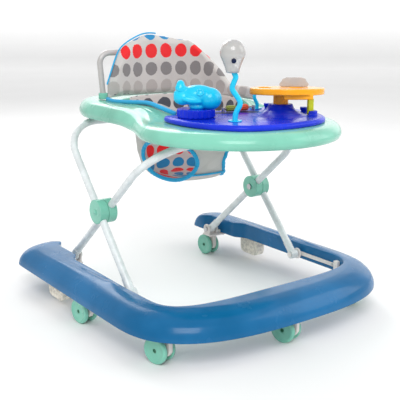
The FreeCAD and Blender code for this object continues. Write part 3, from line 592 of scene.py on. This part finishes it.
STAR_Y = -40.0      # plan centre that the tray's rays start from
FRONT_TOP = 420.0   # the tray's top at its round front
RING_RISE = 20.0    # how much higher the ring round the seat is


def in_tray(x, y):
    """True inside the union of the round front and the ring round the seat."""
    if math.hypot(x, y + 190.0) < 208.0:
        return True
    if y <= -104.0:
        return False
    if y < 80.0:
        return abs(x) < 182.0
    return abs(x / 182.0) ** 2.6 + abs((y - 80.0) / 191.0) ** 2.6 < 1.0


def reach(test, c, s):
    """Distance from the star centre to a shape's edge along a ray."""
    low, high = 0.0, 400.0
    for _ in range(26):
        middle = (low + high) / 2.0
        if test(middle * c, STAR_Y + middle * s):
            low = middle
        else:
            high = middle
    return low


def in_hole(x, y):
    """True inside the opening that the seat hangs in."""
    return abs(x / 120.0) ** 3.0 + abs(y / 125.0) ** 3.0 < 1.0


def make_tray():
    """The tray's moulded cover, as one section along each ray from the seat's opening to the rim."""
    steps = 288
    rays = [(math.cos(2 * math.pi * i / steps), math.sin(2 * math.pi * i / steps)) for i in range(steps)]
    rim = np.array([reach(in_tray, c, s) for c, s in rays])
    for _ in range(36):
        rim = (np.roll(rim, 1) + 2.0 * rim + np.roll(rim, -1)) / 4.0
    hole = [reach(in_hole, c, s) for c, s in rays]
    shoulder = ((34.0, 0.0), (24.0, 0.6), (15.0, 2.6), (8.0, 6.4), (3.0, 11.6), (0.6, 17.0), (0.0, 21.0),
                (0.8, 25.0), (3.4, 29.0), (5.6, 31.4))
    lip = ((0.0, 34.0), (0.0, 16.0), (0.0, 5.0), (0.6, 1.6), (2.2, -0.6), (6.0, -1.4), (10.5, 0.4),
           (14.0, 1.8))
    rows = []
    for i, (c, s) in enumerate(rays):
        section = []
        plan_y = STAR_Y + rim[i] * s
        raised = ease(plan_y, -150.0, 0.0)
        top = FRONT_TOP + RING_RISE * raised
        hole_y = STAR_Y + hole[i] * s
        inner_top = FRONT_TOP + RING_RISE * ease(hole_y, -140.0, -40.0)
        for inset, drop in lip:
            section.append((hole[i] + inset, inner_top - drop))
        start, end = hole[i] + 16.0, rim[i] - 40.0
        for f in (0.0, 0.25, 0.5, 0.75, 1.0):
            r = start + (max(end, start + 4.0) - start) * f
            y = STAR_Y + r * s
            z = FRONT_TOP + RING_RISE * ease(y, -140.0, -40.0)
            section.append((r, z - 1.6 * math.sin(math.pi * f)))
        deeper = 1.0 + 0.2 * raised
        for inset, drop in shoulder:
            section.append((rim[i] - inset, top - drop * deeper))
        rows.append([at(r * c, STAR_Y + r * s, z) for r, z in section])
    count = len(rows[0])
    verts = [v for row in rows for v in row]
    faces = []
    for i in range(steps):
        for j in range(count - 1):
            a, b = i * count + j, ((i + 1) % steps) * count + j
            faces.append((a, b, b + 1, a + 1))
    obj = piece("tray_cover", verts, faces, MINT, None)
    face_up(obj)
    thicken(obj, 2.4)
    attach(obj, "tray")
    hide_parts("tray_shell")


make_tray()
soften(["crossbar_saddles"], "crossbar_clips", MINT, 1.2, 4)
soften(["catch_racks"], "height_racks", MINT, 0.8, 3)
soften(["hoop_collars"], "handle_collars", MINT, 0.7, 6)


# ---------------------------------------------------------------- console and toys

soften(["whale_dial"], "ribbed_dial", ROYAL, 0.7, 3)
soften(["steering_column"], "wheel_column", ORANGE, 0.9, 6)
soften(["paddle"], "flip_paddle", LIME, 0.6, 6)
soften(["stem_feet"], "stem_rings", SKY, 0.5, 4)
for number in (1, 2, 3):
    soften(["push_button_%d" % number], "button_cap_%d" % number, ROYAL, 0.6, 8)


WHEEL_AT = at(62.0, -248.0, 479.0)
CONSOLE_TOP = 431.0


def make_console():
    """Console with its soft cone under the steering column."""
    console = soften(["console"], "console_moulding", ROYAL, 1.3, 6)
    away = (15.0, 22.0, 24.0, 26.0, 30.0, 38.0, 48.0, 57.0)
    heights = (453.0, 453.0, 452.0, 446.0, 441.0, 436.5, 433.0, 431.3)
    end_trim = 0.009
    for vert in console.data.vertices:
        d = math.hypot(vert.co.x - WHEEL_AT.x, vert.co.y - WHEEL_AT.y) * 1000.0
        if vert.co.z > CONSOLE_TOP / 1000.0 and 14.0 < d < 57.0:
            vert.co.z = np.interp(d, away, heights) / 1000.0
        vert.co.x += end_trim * ease(-vert.co.x, 0.09, 0.158)


def make_wheel():
    """Steering wheel whose rim is fuller below than its flat core."""
    wheel = soften(["steering_wheel"], "wheel_rim", ORANGE, 1.1, 14)
    turn = Matrix.Rotation(TOY_TURN, 3, "Z")
    for vert in wheel.data.vertices:
        local = turn.inverted() @ (vert.co - WHEEL_AT) * 1000.0
        if -9.0 < local.z < 0.0:
            local.z *= 1.0 + 0.4 * ease(math.hypot(local.x - 12.0, local.y), 46.0, 60.0)
        vert.co = WHEEL_AT + turn @ (local / 1000.0)


def make_windscreen():
    """Clear plate on the wheel, widest at its foot."""
    plate = soften(["windscreen"], "windscreen_plate", SMOKE, 0.6, 6)
    middle = sum((vert.co for vert in plate.data.vertices), Vector()) / len(plate.data.vertices)
    along = Vector((math.cos(TOY_TURN), math.sin(TOY_TURN), 0.0))
    low = min(vert.co.z for vert in plate.data.vertices)
    for vert in plate.data.vertices:
        spread = 0.35 * (1.0 - ease(vert.co.z, low, low + 0.011))
        vert.co += along * ((vert.co - middle).dot(along) * spread)


def make_recesses():
    """Two dark panels on the console beside the rollers, each with a raised lip; their dark blue is painted shade
    of the console's recesses.
    """
    wells = ((-20.0, -160.0, 25.0, 12.0), (38.0, -178.0, 24.0, 13.0))      # x, y and half sizes
    lines = ((1.0, -0.4), (1.0, 0.2), (0.95, 0.42), (0.88, 0.3), (0.86, 0.12), (0.5, 0.12), (0.01, 0.12))
    turn = Matrix.Rotation(TOY_TURN, 3, "Z")
    steps = 56
    for number, (x, y, a, b) in enumerate(wells, 1):
        verts, faces = [], []
        for scale, rise in lines:
            for i in range(steps):
                px, py = oval(a * scale, b * scale, 3.0, 0.0, 360.0 * i / steps)
                verts.append(at(x, y, CONSOLE_TOP + rise) + turn @ (Vector((px, py, 0.0)) / 1000.0))
        for j in range(len(lines) - 1):
            for i in range(steps):
                k = (i + 1) % steps
                faces.append((j * steps + i, j * steps + k, (j + 1) * steps + k, (j + 1) * steps + i))
        well = piece("console_well_%d" % number, verts, faces, RECESS_SHADE_BLUE, "tray")


make_console()
make_wheel()
make_windscreen()
make_recesses()


def fluted(node, name, material, body, ribs):
    """A roller with lengthwise flutes."""
    low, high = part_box(node)
    centre = (low + high) / 2.0
    half = (high.x - low.x) / 2.0
    radius = (high.z - low.z) / 2.0
    stations = ((-1.0, 0.72), (-0.96, 0.9), (-0.86, 1.0), (0.86, 1.0), (0.96, 0.9), (1.0, 0.72))
    steps = ribs * 6
    verts, faces = [], []
    for along, scale in stations:
        for i in range(steps):
            angle = 2 * math.pi * i / steps
            r = radius * scale * (0.94 + 0.06 * math.cos(ribs * angle))
            rim = (r * math.cos(angle), r * math.sin(angle))
            verts.append((centre.x + half * along, centre.y + rim[0], centre.z + rim[1]))
    for j in range(len(stations) - 1):
        for i in range(steps):
            a, b = j * steps + i, j * steps + (i + 1) % steps
            faces.append((a, b, b + steps, a + steps))
    for end in (0, (len(stations) - 1) * steps):
        faces.append(tuple(end + i for i in range(steps)))
    obj = piece(name, verts, faces, material, body)
    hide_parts(node)


fluted("roller_olive", "fluted_roller_olive", OLIVE, "roller_1", 9)
fluted("roller_orange", "fluted_roller_coral", CORAL, "roller_2", 9)


def blob(shapes, name, material, body, voxel, rounds):
    """Several ellipsoids melted into one smooth form: centre, half sizes, turn matrix, in metres."""
    bm = bmesh.new()
    for centre, sizes, turn in shapes:
        made = bmesh.ops.create_icosphere(bm, subdivisions=4, radius=1.0)["verts"]
        place = Matrix.Translation(centre) @ turn.to_4x4() @ Matrix.Diagonal((*sizes, 1.0))
        bmesh.ops.transform(bm, matrix=place, verts=made)
    mesh = bpy.data.meshes.new(name)
    bm.to_mesh(mesh)
    bm.free()
    mesh.materials.append(material)
    obj = bpy.data.objects.new(name, mesh)
    bpy.context.scene.collection.objects.link(obj)
    grid = obj.modifiers.new("grid", "REMESH")
    grid.mode = "VOXEL"
    grid.voxel_size = voxel / 1000.0
    relax = obj.modifiers.new("round", "SMOOTH")
    relax.factor = 0.5
    relax.iterations = rounds
    settle(obj)
    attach(obj, body)
    return obj


def make_whale():
    """Smooth sea animal with a raised tail and two flukes, plain round eyes and side fins."""
    centre = at(-99.0, -182.0, 473.0)
    turn = Matrix.Rotation(TOY_TURN, 3, "Z")

    def spot(a, s, z):
        return centre + turn @ (Vector((a, s, z)) / 1000.0)

    def sized(a, s, z):
        return (a / 1000.0, s / 1000.0, z / 1000.0)

    def lean(degrees):
        return turn @ Matrix.Rotation(math.radians(degrees), 3, "Y")

    shapes = [
        (spot(27, 0, -6), sized(23.5, 24, 22), turn), (spot(4, 0, 0), sized(36, 23, 21), turn),
        (spot(-24, 0, -3), sized(20, 18, 15.5), lean(-6)), (spot(-34, 0, 0), sized(10, 13, 13), turn),
        (spot(2, 0, -21), sized(16, 16, 8), turn),
    ]
    for side in (-1.0, 1.0):
        fluke = turn @ Matrix.Rotation(math.radians(side * 30.0), 3, "X")
        shapes.append((spot(-30, side * 7, 19), sized(8.5, 5.5, 12.5), fluke))
        shapes.append((spot(-26, side * 5, 12), sized(15, 9.0, 8.0), lean(18)))
        shapes.append((spot(-8, side * 21.0, -7), sized(19, 4.5, 6.0), lean(10)))
    whale = blob(shapes, "sea_animal", SKY, "whale_toy", 1.1, 8)
    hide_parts("whale")
    for side, word in ((-1.0, "near"), (1.0, "far")):
        out = turn @ Vector((0.12, side * 0.9, 0.36))
        eye = lathe("eye_" + word, ((0.01, 1.6), (4.4, 1.2), (5.2, 2.2), (6.6, 2.2), (7.4, 0.9), (7.6, -2.4)),
                    spot(8, side * 20.6, 8), out, SKY, "whale_toy", 28)


make_whale()


def make_bulb():
    """Wavy stem, round clear-grey rattle head and its collar."""
    side = Vector((math.cos(TOY_TURN), math.sin(TOY_TURN), 0.0))
    foot = at(-74.0, -273.0, 430.0)
    points = []
    for f, swing in ((0.0, 0.0), (0.1, 0.0), (0.2, 2.0), (0.36, 11.5), (0.5, 3.0), (0.64, -7.5), (0.77, -3.0),
                     (0.87, 1.5), (0.95, -3.0), (1.0, -4.0)):
        points.append(foot + side * (swing / 1000.0) + Vector((0, 0, 0.096 * f)))
    stem = rope("wavy_stem", points, 5.2, SKY, "bulb_toy")
    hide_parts("bulb_stem")
    shift = side * -0.0055
    centre = at(-74.0, -273.0, 558.0) + shift
    profile = [(0.01, 24.0)]
    for i in range(1, 15):
        t = math.radians(8.6 * i)
        profile.append((24.0 * math.sin(t), 24.0 * math.cos(t)))
    profile += [(18.6, -17.0), (16.0, -23.0), (14.0, -29.0), (12.9, -33.0), (12.4, -35.4), (10.8, -36.8),
                (8.0, -37.2), (0.01, -37.2)]
    head = lathe("rattle_head", profile, centre, (0, 0, 1), PEARL, "bulb_toy", 72)
    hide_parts("bulb")
    # the button carries painted shade: it is coloured dark navy for the shade of the hole it sits in
    button = soften(["bulb_button"], "rattle_button", BUTTON_HOLE_SHADE, 0.4, 4)
    button.data.transform(Matrix.Translation(shift))


make_bulb()


def make_twist():
    """Short wavy stem with a round knob."""
    side = Vector((math.cos(TOY_TURN), math.sin(TOY_TURN), 0.0))
    foot = at(86.0, -142.0, 430.0)
    points = []
    for i in range(15):
        points.append(foot + side * 0.0032 * math.sin(2.2 * math.pi * i / 14.0) + Vector((0, 0, 0.0028 * i)))
    stem = rope("twist_stem_tube", points, 4.0, SKY, "twist_toy")
    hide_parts("twist_stem")
    ball = ((0.01, 6.0), (3.2, 5.2), (5.4, 2.6), (6.0, 0.0), (5.4, -2.6), (3.2, -5.2), (0.01, -6.0))
    knob = lathe("twist_knob", ball, at(86.0, -142.0, 470.0), (0, 0, 1), SKY, "twist_toy", 32)


make_twist()


# ---------------------------------------------------------------- seat

SEAM_Z = 450.0
BACK_PLAN = ((-121, 131), (-96, 131), (-45, 134), (0, 134), (50, 131), (88, 115), (112, 82), (123, 25),
             (123, -40), (117, -100))


def smooth_line(points, count):
    """Even samples of a smooth curve through plan points, with the length run so far."""
    raw = np.array(points, float)
    ext = np.vstack([2 * raw[0] - raw[1], raw, 2 * raw[-1] - raw[-2]])
    fine = []
    for i in range(1, len(ext) - 2):
        p0, p1, p2, p3 = ext[i - 1], ext[i], ext[i + 1], ext[i + 2]
        for t in np.linspace(0.0, 1.0, 20, endpoint=False):
            fine.append(0.5 * (2 * p1 + (p2 - p0) * t + (2 * p0 - 5 * p1 + 4 * p2 - p3) * t * t
                               + (3 * p1 - p0 - 3 * p2 + p3) * t ** 3))
    fine.append(raw[-1])
    fine = np.array(fine)
    run = np.concatenate([[0.0], np.cumsum(np.hypot(*np.diff(fine, axis=0).T))])
    want = np.linspace(0.0, run[-1], count)
    return np.stack([np.interp(want, run, fine[:, k]) for k in (0, 1)], 1), want


def back_top(x, y):
    """Height of the padded back's top edge over a plan point."""
    across = np.interp(x, (-131, -120, -102, -92, -59, -25, 0, 55, 90, 131),
                       (455, 475, 522, 550, 570, 584, 586, 577, 570, 562))
    beside = np.interp(y, (-110, -3, 12, 35, 60, 100, 120), (468, 472, 489, 510, 528, 559, 589))
    return min(across, beside)


def make_back():
    """Padded back: crowned between its bound edges, with pleats and a sewn line."""
    plan, run = smooth_line(BACK_PLAN, 110)
    tangent = np.gradient(plan, axis=0)
    tangent /= np.linalg.norm(tangent, axis=1)[:, None]
    outward = np.stack([tangent[:, 1] * -1.0, tangent[:, 0]], 1)
    tops = np.array([back_top(x, y) for x, y in plan])
    for _ in range(10):
        tops[1:-1] = (tops[:-2] + 2 * tops[1:-1] + tops[2:]) / 4.0
    rows = 46
    low = 441.0
    verts, faces, marks, edge = [], [], [], []
    for face_side in (1.0, -1.0):
        for i in range(len(plan)):
            for j in range(rows + 1):
                v = j / rows
                u = i / (len(plan) - 1)
                z = low + (tops[i] - low) * v
                rim_u = min(1.0, u / 0.05, (1.0 - u) / 0.04)
                rim_v = min(1.0, v / 0.12, (1.0 - v) / 0.1)
                crown = math.sqrt(max(0.0, 1.0 - (1.0 - min(rim_u, rim_v)) ** 2))
                seam = math.exp(-((z - SEAM_Z) / 2.2) ** 2) if run[i] < 215.0 else 0.0
                soft = noise.noise(Vector((run[i] / 26.0, z / 34.0, face_side)))
                near = math.exp(-((run[i] - 56.0) / 30.0) ** 2)
                pleat = near * math.sin(run[i] / 4.2 + 3.0 * v) * (1.0 - 0.5 * v)
                half = 1.0 + 5.4 * crown * (1.0 - 0.55 * seam) + crown * (0.8 * soft + 1.5 * pleat)
                x, y = plan[i] + outward[i] * half * face_side
                verts.append(at(x, y, z))
                gathered = 20.0 * (ease(run[i], 16.0, 88.0) - 1.0) + 2.2 * pleat
                marks.append(((run[i] + gathered) / 1000.0, (z + 2.0 * soft) / 1000.0))
    count = rows + 1
    size = len(plan) * count
    for offset in (0, size):
        for i in range(len(plan) - 1):
            for j in range(rows):
                a = offset + i * count + j
                quad = (a, a + 1, a + count + 1, a + count)
                faces.append(quad[:1] + quad[:0:-1] if offset else quad)
    for i in range(len(plan) - 1):
        for j in (0, rows):
            a, b = i * count + j, (i + 1) * count + j
            faces.append((a, b, b + size, a + size))
    for i in (0, len(plan) - 1):
        for j in range(rows):
            a = i * count + j
            faces.append((a, a + 1, a + 1 + size, a + size))
    back = piece("padded_back", verts, faces, BACK_CLOTH, None)
    mark(back, verts, marks)
    puff(back, 0.003, verts, marks)
    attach(back, "tray")
    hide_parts("seat_back")
    border = [at(x, y, z) for (x, y), z in zip(plan, tops)]
    binding = rope("back_binding", border[:34], 1.7, PIPING, "tray")
    route = ((-122, 128, 441), (-130, 99, 440), (-129, 60, 441.5), (-125, 17, 444), (-121, -8, 446),
             (-120, -47, 448), (-119, -78, 443), (-113, -104, 437), (-104, -118, 431))
    hem = [at(*point) for point in route]
    rim = rope("seat_hem", hem, 4.6, PIPING, "tray")
    stitches(plan, run, outward)


def mark(obj, places, values):
    """Gives each vertex its distance along the cloth and its height, for the print and the weave."""
    tree = KDTree(len(places))
    for i, place in enumerate(places):
        tree.insert(place, i)
    tree.balance()
    for k, name in enumerate(("along", "high")):
        old = obj.data.attributes.get(name)
        if old:
            obj.data.attributes.remove(old)
        layer = obj.data.attributes.new(name, "FLOAT", "POINT")
        data = []
        for vert in obj.data.vertices:
            near = tree.find_n(vert.co, 3)
            weights = [1.0 / (d + 1e-6) for _, _, d in near]
            data.append(sum(w * values[i][k] for w, (_, i, _) in zip(weights, near)) / sum(weights))
        layer.data.foreach_set("value", data)


def puff(obj, cap, places, values):
    """Swells a closed pad with a short cloth run, and keeps each point near where it was."""
    grid = obj.modifiers.new("grid", "REMESH")
    grid.mode = "VOXEL"
    grid.voxel_size = 0.004
    settle(obj)
    before = np.array([v.co for v in obj.data.vertices], float)
    cloth = obj.modifiers.new("cloth", "CLOTH")
    cloth.settings.use_pressure = True
    cloth.settings.uniform_pressure_force = 4.0
    cloth.settings.effector_weights.gravity = 0.0
    cloth.settings.quality = 5
    cloth.point_cache.frame_start = 1
    cloth.point_cache.frame_end = 20
    for step in range(1, 21):
        bpy.context.scene.frame_set(step)
    settle(obj)
    after = np.array([v.co for v in obj.data.vertices], float)
    move = after - before
    length = np.linalg.norm(move, axis=1)[:, None]
    after = before + move * np.minimum(1.0, cap / np.maximum(length, 1e-9))
    obj.data.vertices.foreach_set("co", after.ravel())
    smooth = obj.modifiers.new("smooth", "SUBSURF")
    smooth.levels = 1
    settle(obj)
    bpy.context.scene.frame_set(1)
    mark(obj, places, values)


def stitches(plan, run, outward):
    """The row of dark stitches that holds the back's lower channel."""
    made = []
    for i in range(4, len(plan) - 6, 3):
        if run[i] > 215.0:
            break
        a = plan[i] - outward[i] * 4.6
        b = plan[i + 1] - outward[i + 1] * 4.6
        made.append((at(a[0], a[1], SEAM_Z), at(b[0], b[1], SEAM_Z)))
    verts, faces = [], []
    for a, b in made:
        along = (b - a).normalized()
        side = Vector((0, 0, 1))
        out = along.cross(side)
        start = len(verts)
        for end in (a - along * 0.001, b + along * 0.001):
            for p, q in ((-1, -1), (1, -1), (1, 1), (-1, 1)):
                verts.append(end + side * 0.0006 * p + out * 0.0006 * q)
        faces += [tuple(start + k for k in quad) for quad in
                  ((0, 1, 2, 3), (4, 7, 6, 5), (0, 4, 5, 1), (1, 5, 6, 2), (2, 6, 7, 3), (3, 7, 4, 0))]
    thread = piece("back_stitches", verts, faces, THREAD, "tray")


make_back()

LEG_WIDE, LEG_TALL = 66.0, 47.0     # half width and half height of a leg hole
LEG_AXES = []                       # start and direction of each leg hole's middle line
for side in (-1, 1):
    LEG_AXES.append((Vector((side * 38.0, -16.0, 328.0)), Vector((side * 0.78, -0.62, -0.1)).normalized()))


def leg_reach(point, start, axis):
    """A point against a leg hole: its depth, its distance in hole radii and the hole's edge beside it."""
    offset = point - start
    depth = offset.dot(axis)
    foot = start + axis * depth
    level = axis.cross(Vector((0, 0, 1))).normalized()
    rise = level.cross(axis)
    radial = point - foot
    wide, tall = radial.dot(level) / LEG_WIDE, radial.dot(rise) / LEG_TALL
    far = math.hypot(wide, tall)
    edge = foot + (level * wide * LEG_WIDE + rise * tall * LEG_TALL) / max(far, 1e-6)
    return depth, far, edge


def make_sling():
    """Cloth bucket: loose folds below the rim, two bound leg holes and a bound band."""
    steps, rows = 168, 60
    heights = (446.0, 400.0, 330.0, 292.0, 278.0, 273.0)
    halves = (114.0, 108.0, 102.0, 90.0, 74.0, 55.0)
    depths = (119.0, 113.0, 107.0, 96.0, 81.0, 60.0)
    deep = np.linspace(0.0, 1.0, 6)
    verts, marks, faces = [], [], []
    down, last = 0.0, None
    for j in range(rows + 1):
        v = j / rows
        wall = min(1.0, v / 0.78)
        shrink = 1.0 - max(0.0, (v - 0.78) / 0.22)
        z = np.interp(wall, deep, heights)
        a, b = np.interp(wall, deep, halves) * shrink, np.interp(wall, deep, depths) * shrink
        if wall >= 1.0:
            z = 273.0 - 0.5 * (1.0 - shrink)
        down += 0.0 if last is None else math.hypot(z - last[0], a - last[1]) / 1000.0
        last = (z, a)
        for i in range(steps):
            degrees = 360.0 * i / steps
            x, y = oval(a, b, 2.4, 0.0, degrees)
            loose = wall * (1.0 - wall) * 4.0 * shrink
            turn = math.radians(degrees)
            crease = noise.noise(Vector((math.cos(turn) * 3.2, math.sin(turn) * 3.2, v * 2.4)))
            pull = 1.0 - 0.022 * loose * (1.0 + 1.6 * crease)
            dip = 17.0 * ease(-y, 55.0, 112.0) * ease(z, 400.0, 446.0)
            verts.append(at(x * pull, y * pull, z - dip))
            marks.append((math.radians((degrees + 126.0) % 360.0 - 180.0) * a / 1000.0, 0.446 - down))
    keep = []
    for index, vert in enumerate(verts):
        here = Vector((vert.x * 1000.0, (vert.y - HUB_Y) * 1000.0, vert.z * 1000.0))
        inside = False
        for start, axis in LEG_AXES:
            depth, far, edge = leg_reach(here, start, axis)
            if depth > 0.0 and far < 1.045:
                if far < 0.965:
                    inside = True
                else:
                    verts[index] = at(edge.x, edge.y, edge.z)
        keep.append(not inside)
    for j in range(rows):
        for i in range(steps):
            k = (i + 1) % steps
            quad = (j * steps + i, j * steps + k, (j + 1) * steps + k, (j + 1) * steps + i)
            if all(keep[corner] for corner in quad):
                faces.append(quad)
    obj = piece("sling_seat", verts, faces, SLING_BACK, None)
    obj.data.materials.append(SLING_CLOTH)
    bm = bmesh.new()
    bm.from_mesh(obj.data)
    bmesh.ops.delete(bm, geom=[v for v in bm.verts if not v.link_faces], context="VERTS")
    for vert in bm.verts:
        here = Vector((vert.co.x * 1000.0, (vert.co.y - HUB_Y) * 1000.0, vert.co.z * 1000.0))
        if vert.is_boundary and here.z < 420.0 and math.hypot(here.x, here.y) > 30.0:
            start, axis = LEG_AXES[0] if here.x < 0.0 else LEG_AXES[1]
            vert.co = at(*leg_reach(here, start, axis)[2])
    bm.to_mesh(obj.data)
    bm.free()
    loops = edge_loops(obj)
    mark(obj, verts, marks)
    thicken(obj, 1.4, 0, 1)
    mark(obj, verts, marks)
    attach(obj, "tray")
    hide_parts("seat_sling")
    for number, loop in enumerate(loops):
        if sum(point.z for point in loop) / len(loop) < 0.42:
            rope("sling_piping_%d" % number, loop, 4.4, PIPING, "tray", closed=True)
    front = [at(*oval(91.5, 97.5, 2.4, 0.0, degrees), 292.0) for degrees in range(244, 293, 4)]
    rope("sling_band", front, 2.2, PIPING, "tray")


def edge_loops(obj):
    """The open edges of a mesh as rings of points, longest first."""
    bm = bmesh.new()
    bm.from_mesh(obj.data)
    open_edges = {e for e in bm.edges if e.is_boundary}
    rings = []
    while open_edges:
        edge = open_edges.pop()
        ring = [edge.verts[0], edge.verts[1]]
        while True:
            onward = [e for e in ring[-1].link_edges if e in open_edges]
            if not onward:
                break
            open_edges.discard(onward[0])
            ring.append(onward[0].other_vert(ring[-1]))
        if len(ring) > 12:
            rings.append([v.co.copy() for v in ring[:-1]])
    bm.free()
    return sorted(rings, key=len, reverse=True)


make_sling()


# ---------------------------------------------------------------- floor, light, camera

def make_stage():
    """Pale floor that bends up into a softly lit wall, a white sky and three soft lamps."""
    g = Graph("floor_pale")
    tone = g.mix(g.remap(g.noise(2.0), 0.3, 0.7, 0.0, 1.0), (0.86, 0.86, 0.86, 1.0), (0.88, 0.88, 0.88, 1.0))
    g.join(tone, g.shader.inputs["Base Color"])
    g.shader.inputs["Roughness"].default_value = 0.8
    height = g.add("ShaderNodeSeparateXYZ")
    g.join(g.place, height.inputs["Vector"])
    g.shader.inputs["Emission Color"].default_value = (1.0, 1.0, 1.0, 1.0)
    g.join(g.remap(height.outputs["Z"], 0.1, 1.2, 0.0, 0.8), g.shader.inputs["Emission Strength"])
    size, bend, tall = 9.0, 1.2, 5.0
    line = [(-size, 0.0)] + [(size - bend + bend * math.sin(t), bend - bend * math.cos(t))
                             for t in np.linspace(0.0, math.pi / 2.0, 16)] + [(size, tall)]
    ahead = Vector((0.5862, 0.8102, 0.0))
    across = Vector((0.8102, -0.5862, 0.0))
    verts = [across * side * size + ahead * d + Vector((0, 0, z)) for d, z in line for side in (-1.0, 1.0)]
    faces = [(2 * i, 2 * i + 1, 2 * i + 3, 2 * i + 2) for i in range(len(line) - 1)]
    floor = piece("floor", verts, faces, g.material, None)
    world = bpy.data.worlds.new("studio")
    bpy.context.scene.world = world
    world.use_nodes = True
    world.node_tree.nodes["Background"].inputs["Color"].default_value = (1.0, 1.0, 1.0, 1.0)
    world.node_tree.nodes["Background"].inputs["Strength"].default_value = 0.75
    lamps = (("key", (-1.6, -2.2, 2.6), 60.0, 1.8), ("fill", (2.4, -1.6, 1.8), 26.0, 2.2),
             ("rim", (0.6, 2.6, 2.4), 34.0, 1.6))
    for name, place, power_w, size_m in lamps:
        lamp = bpy.data.lights.new(name, "AREA")
        lamp.energy = power_w
        lamp.size = size_m
        obj = bpy.data.objects.new(name, lamp)
        obj.location = place
        obj.rotation_euler = (Vector((0, 0, 0.3)) - Vector(place)).to_track_quat("-Z", "Y").to_euler()
        bpy.context.scene.collection.objects.link(obj)


def make_camera():
    """The photographed view, from the front and a little above."""
    azimuth, pitch = math.radians(-35.883), math.radians(13.635)
    data = bpy.data.cameras.new("camera")
    data.lens = 68.48
    data.sensor_width = 36.0
    camera = bpy.data.objects.new("camera", data)
    level = math.cos(pitch)
    ahead = Vector((-math.sin(azimuth) * level, math.cos(azimuth) * level, -math.sin(pitch)))
    camera.location = (-0.962, -1.3881 + HUB_Y, 0.6242)
    camera.rotation_euler = ahead.to_track_quat("-Z", "Y").to_euler()
    bpy.context.scene.collection.objects.link(camera)
    bpy.context.scene.camera = camera


make_stage()
make_camera()
bpy.context.scene.view_settings.view_transform = "Standard"
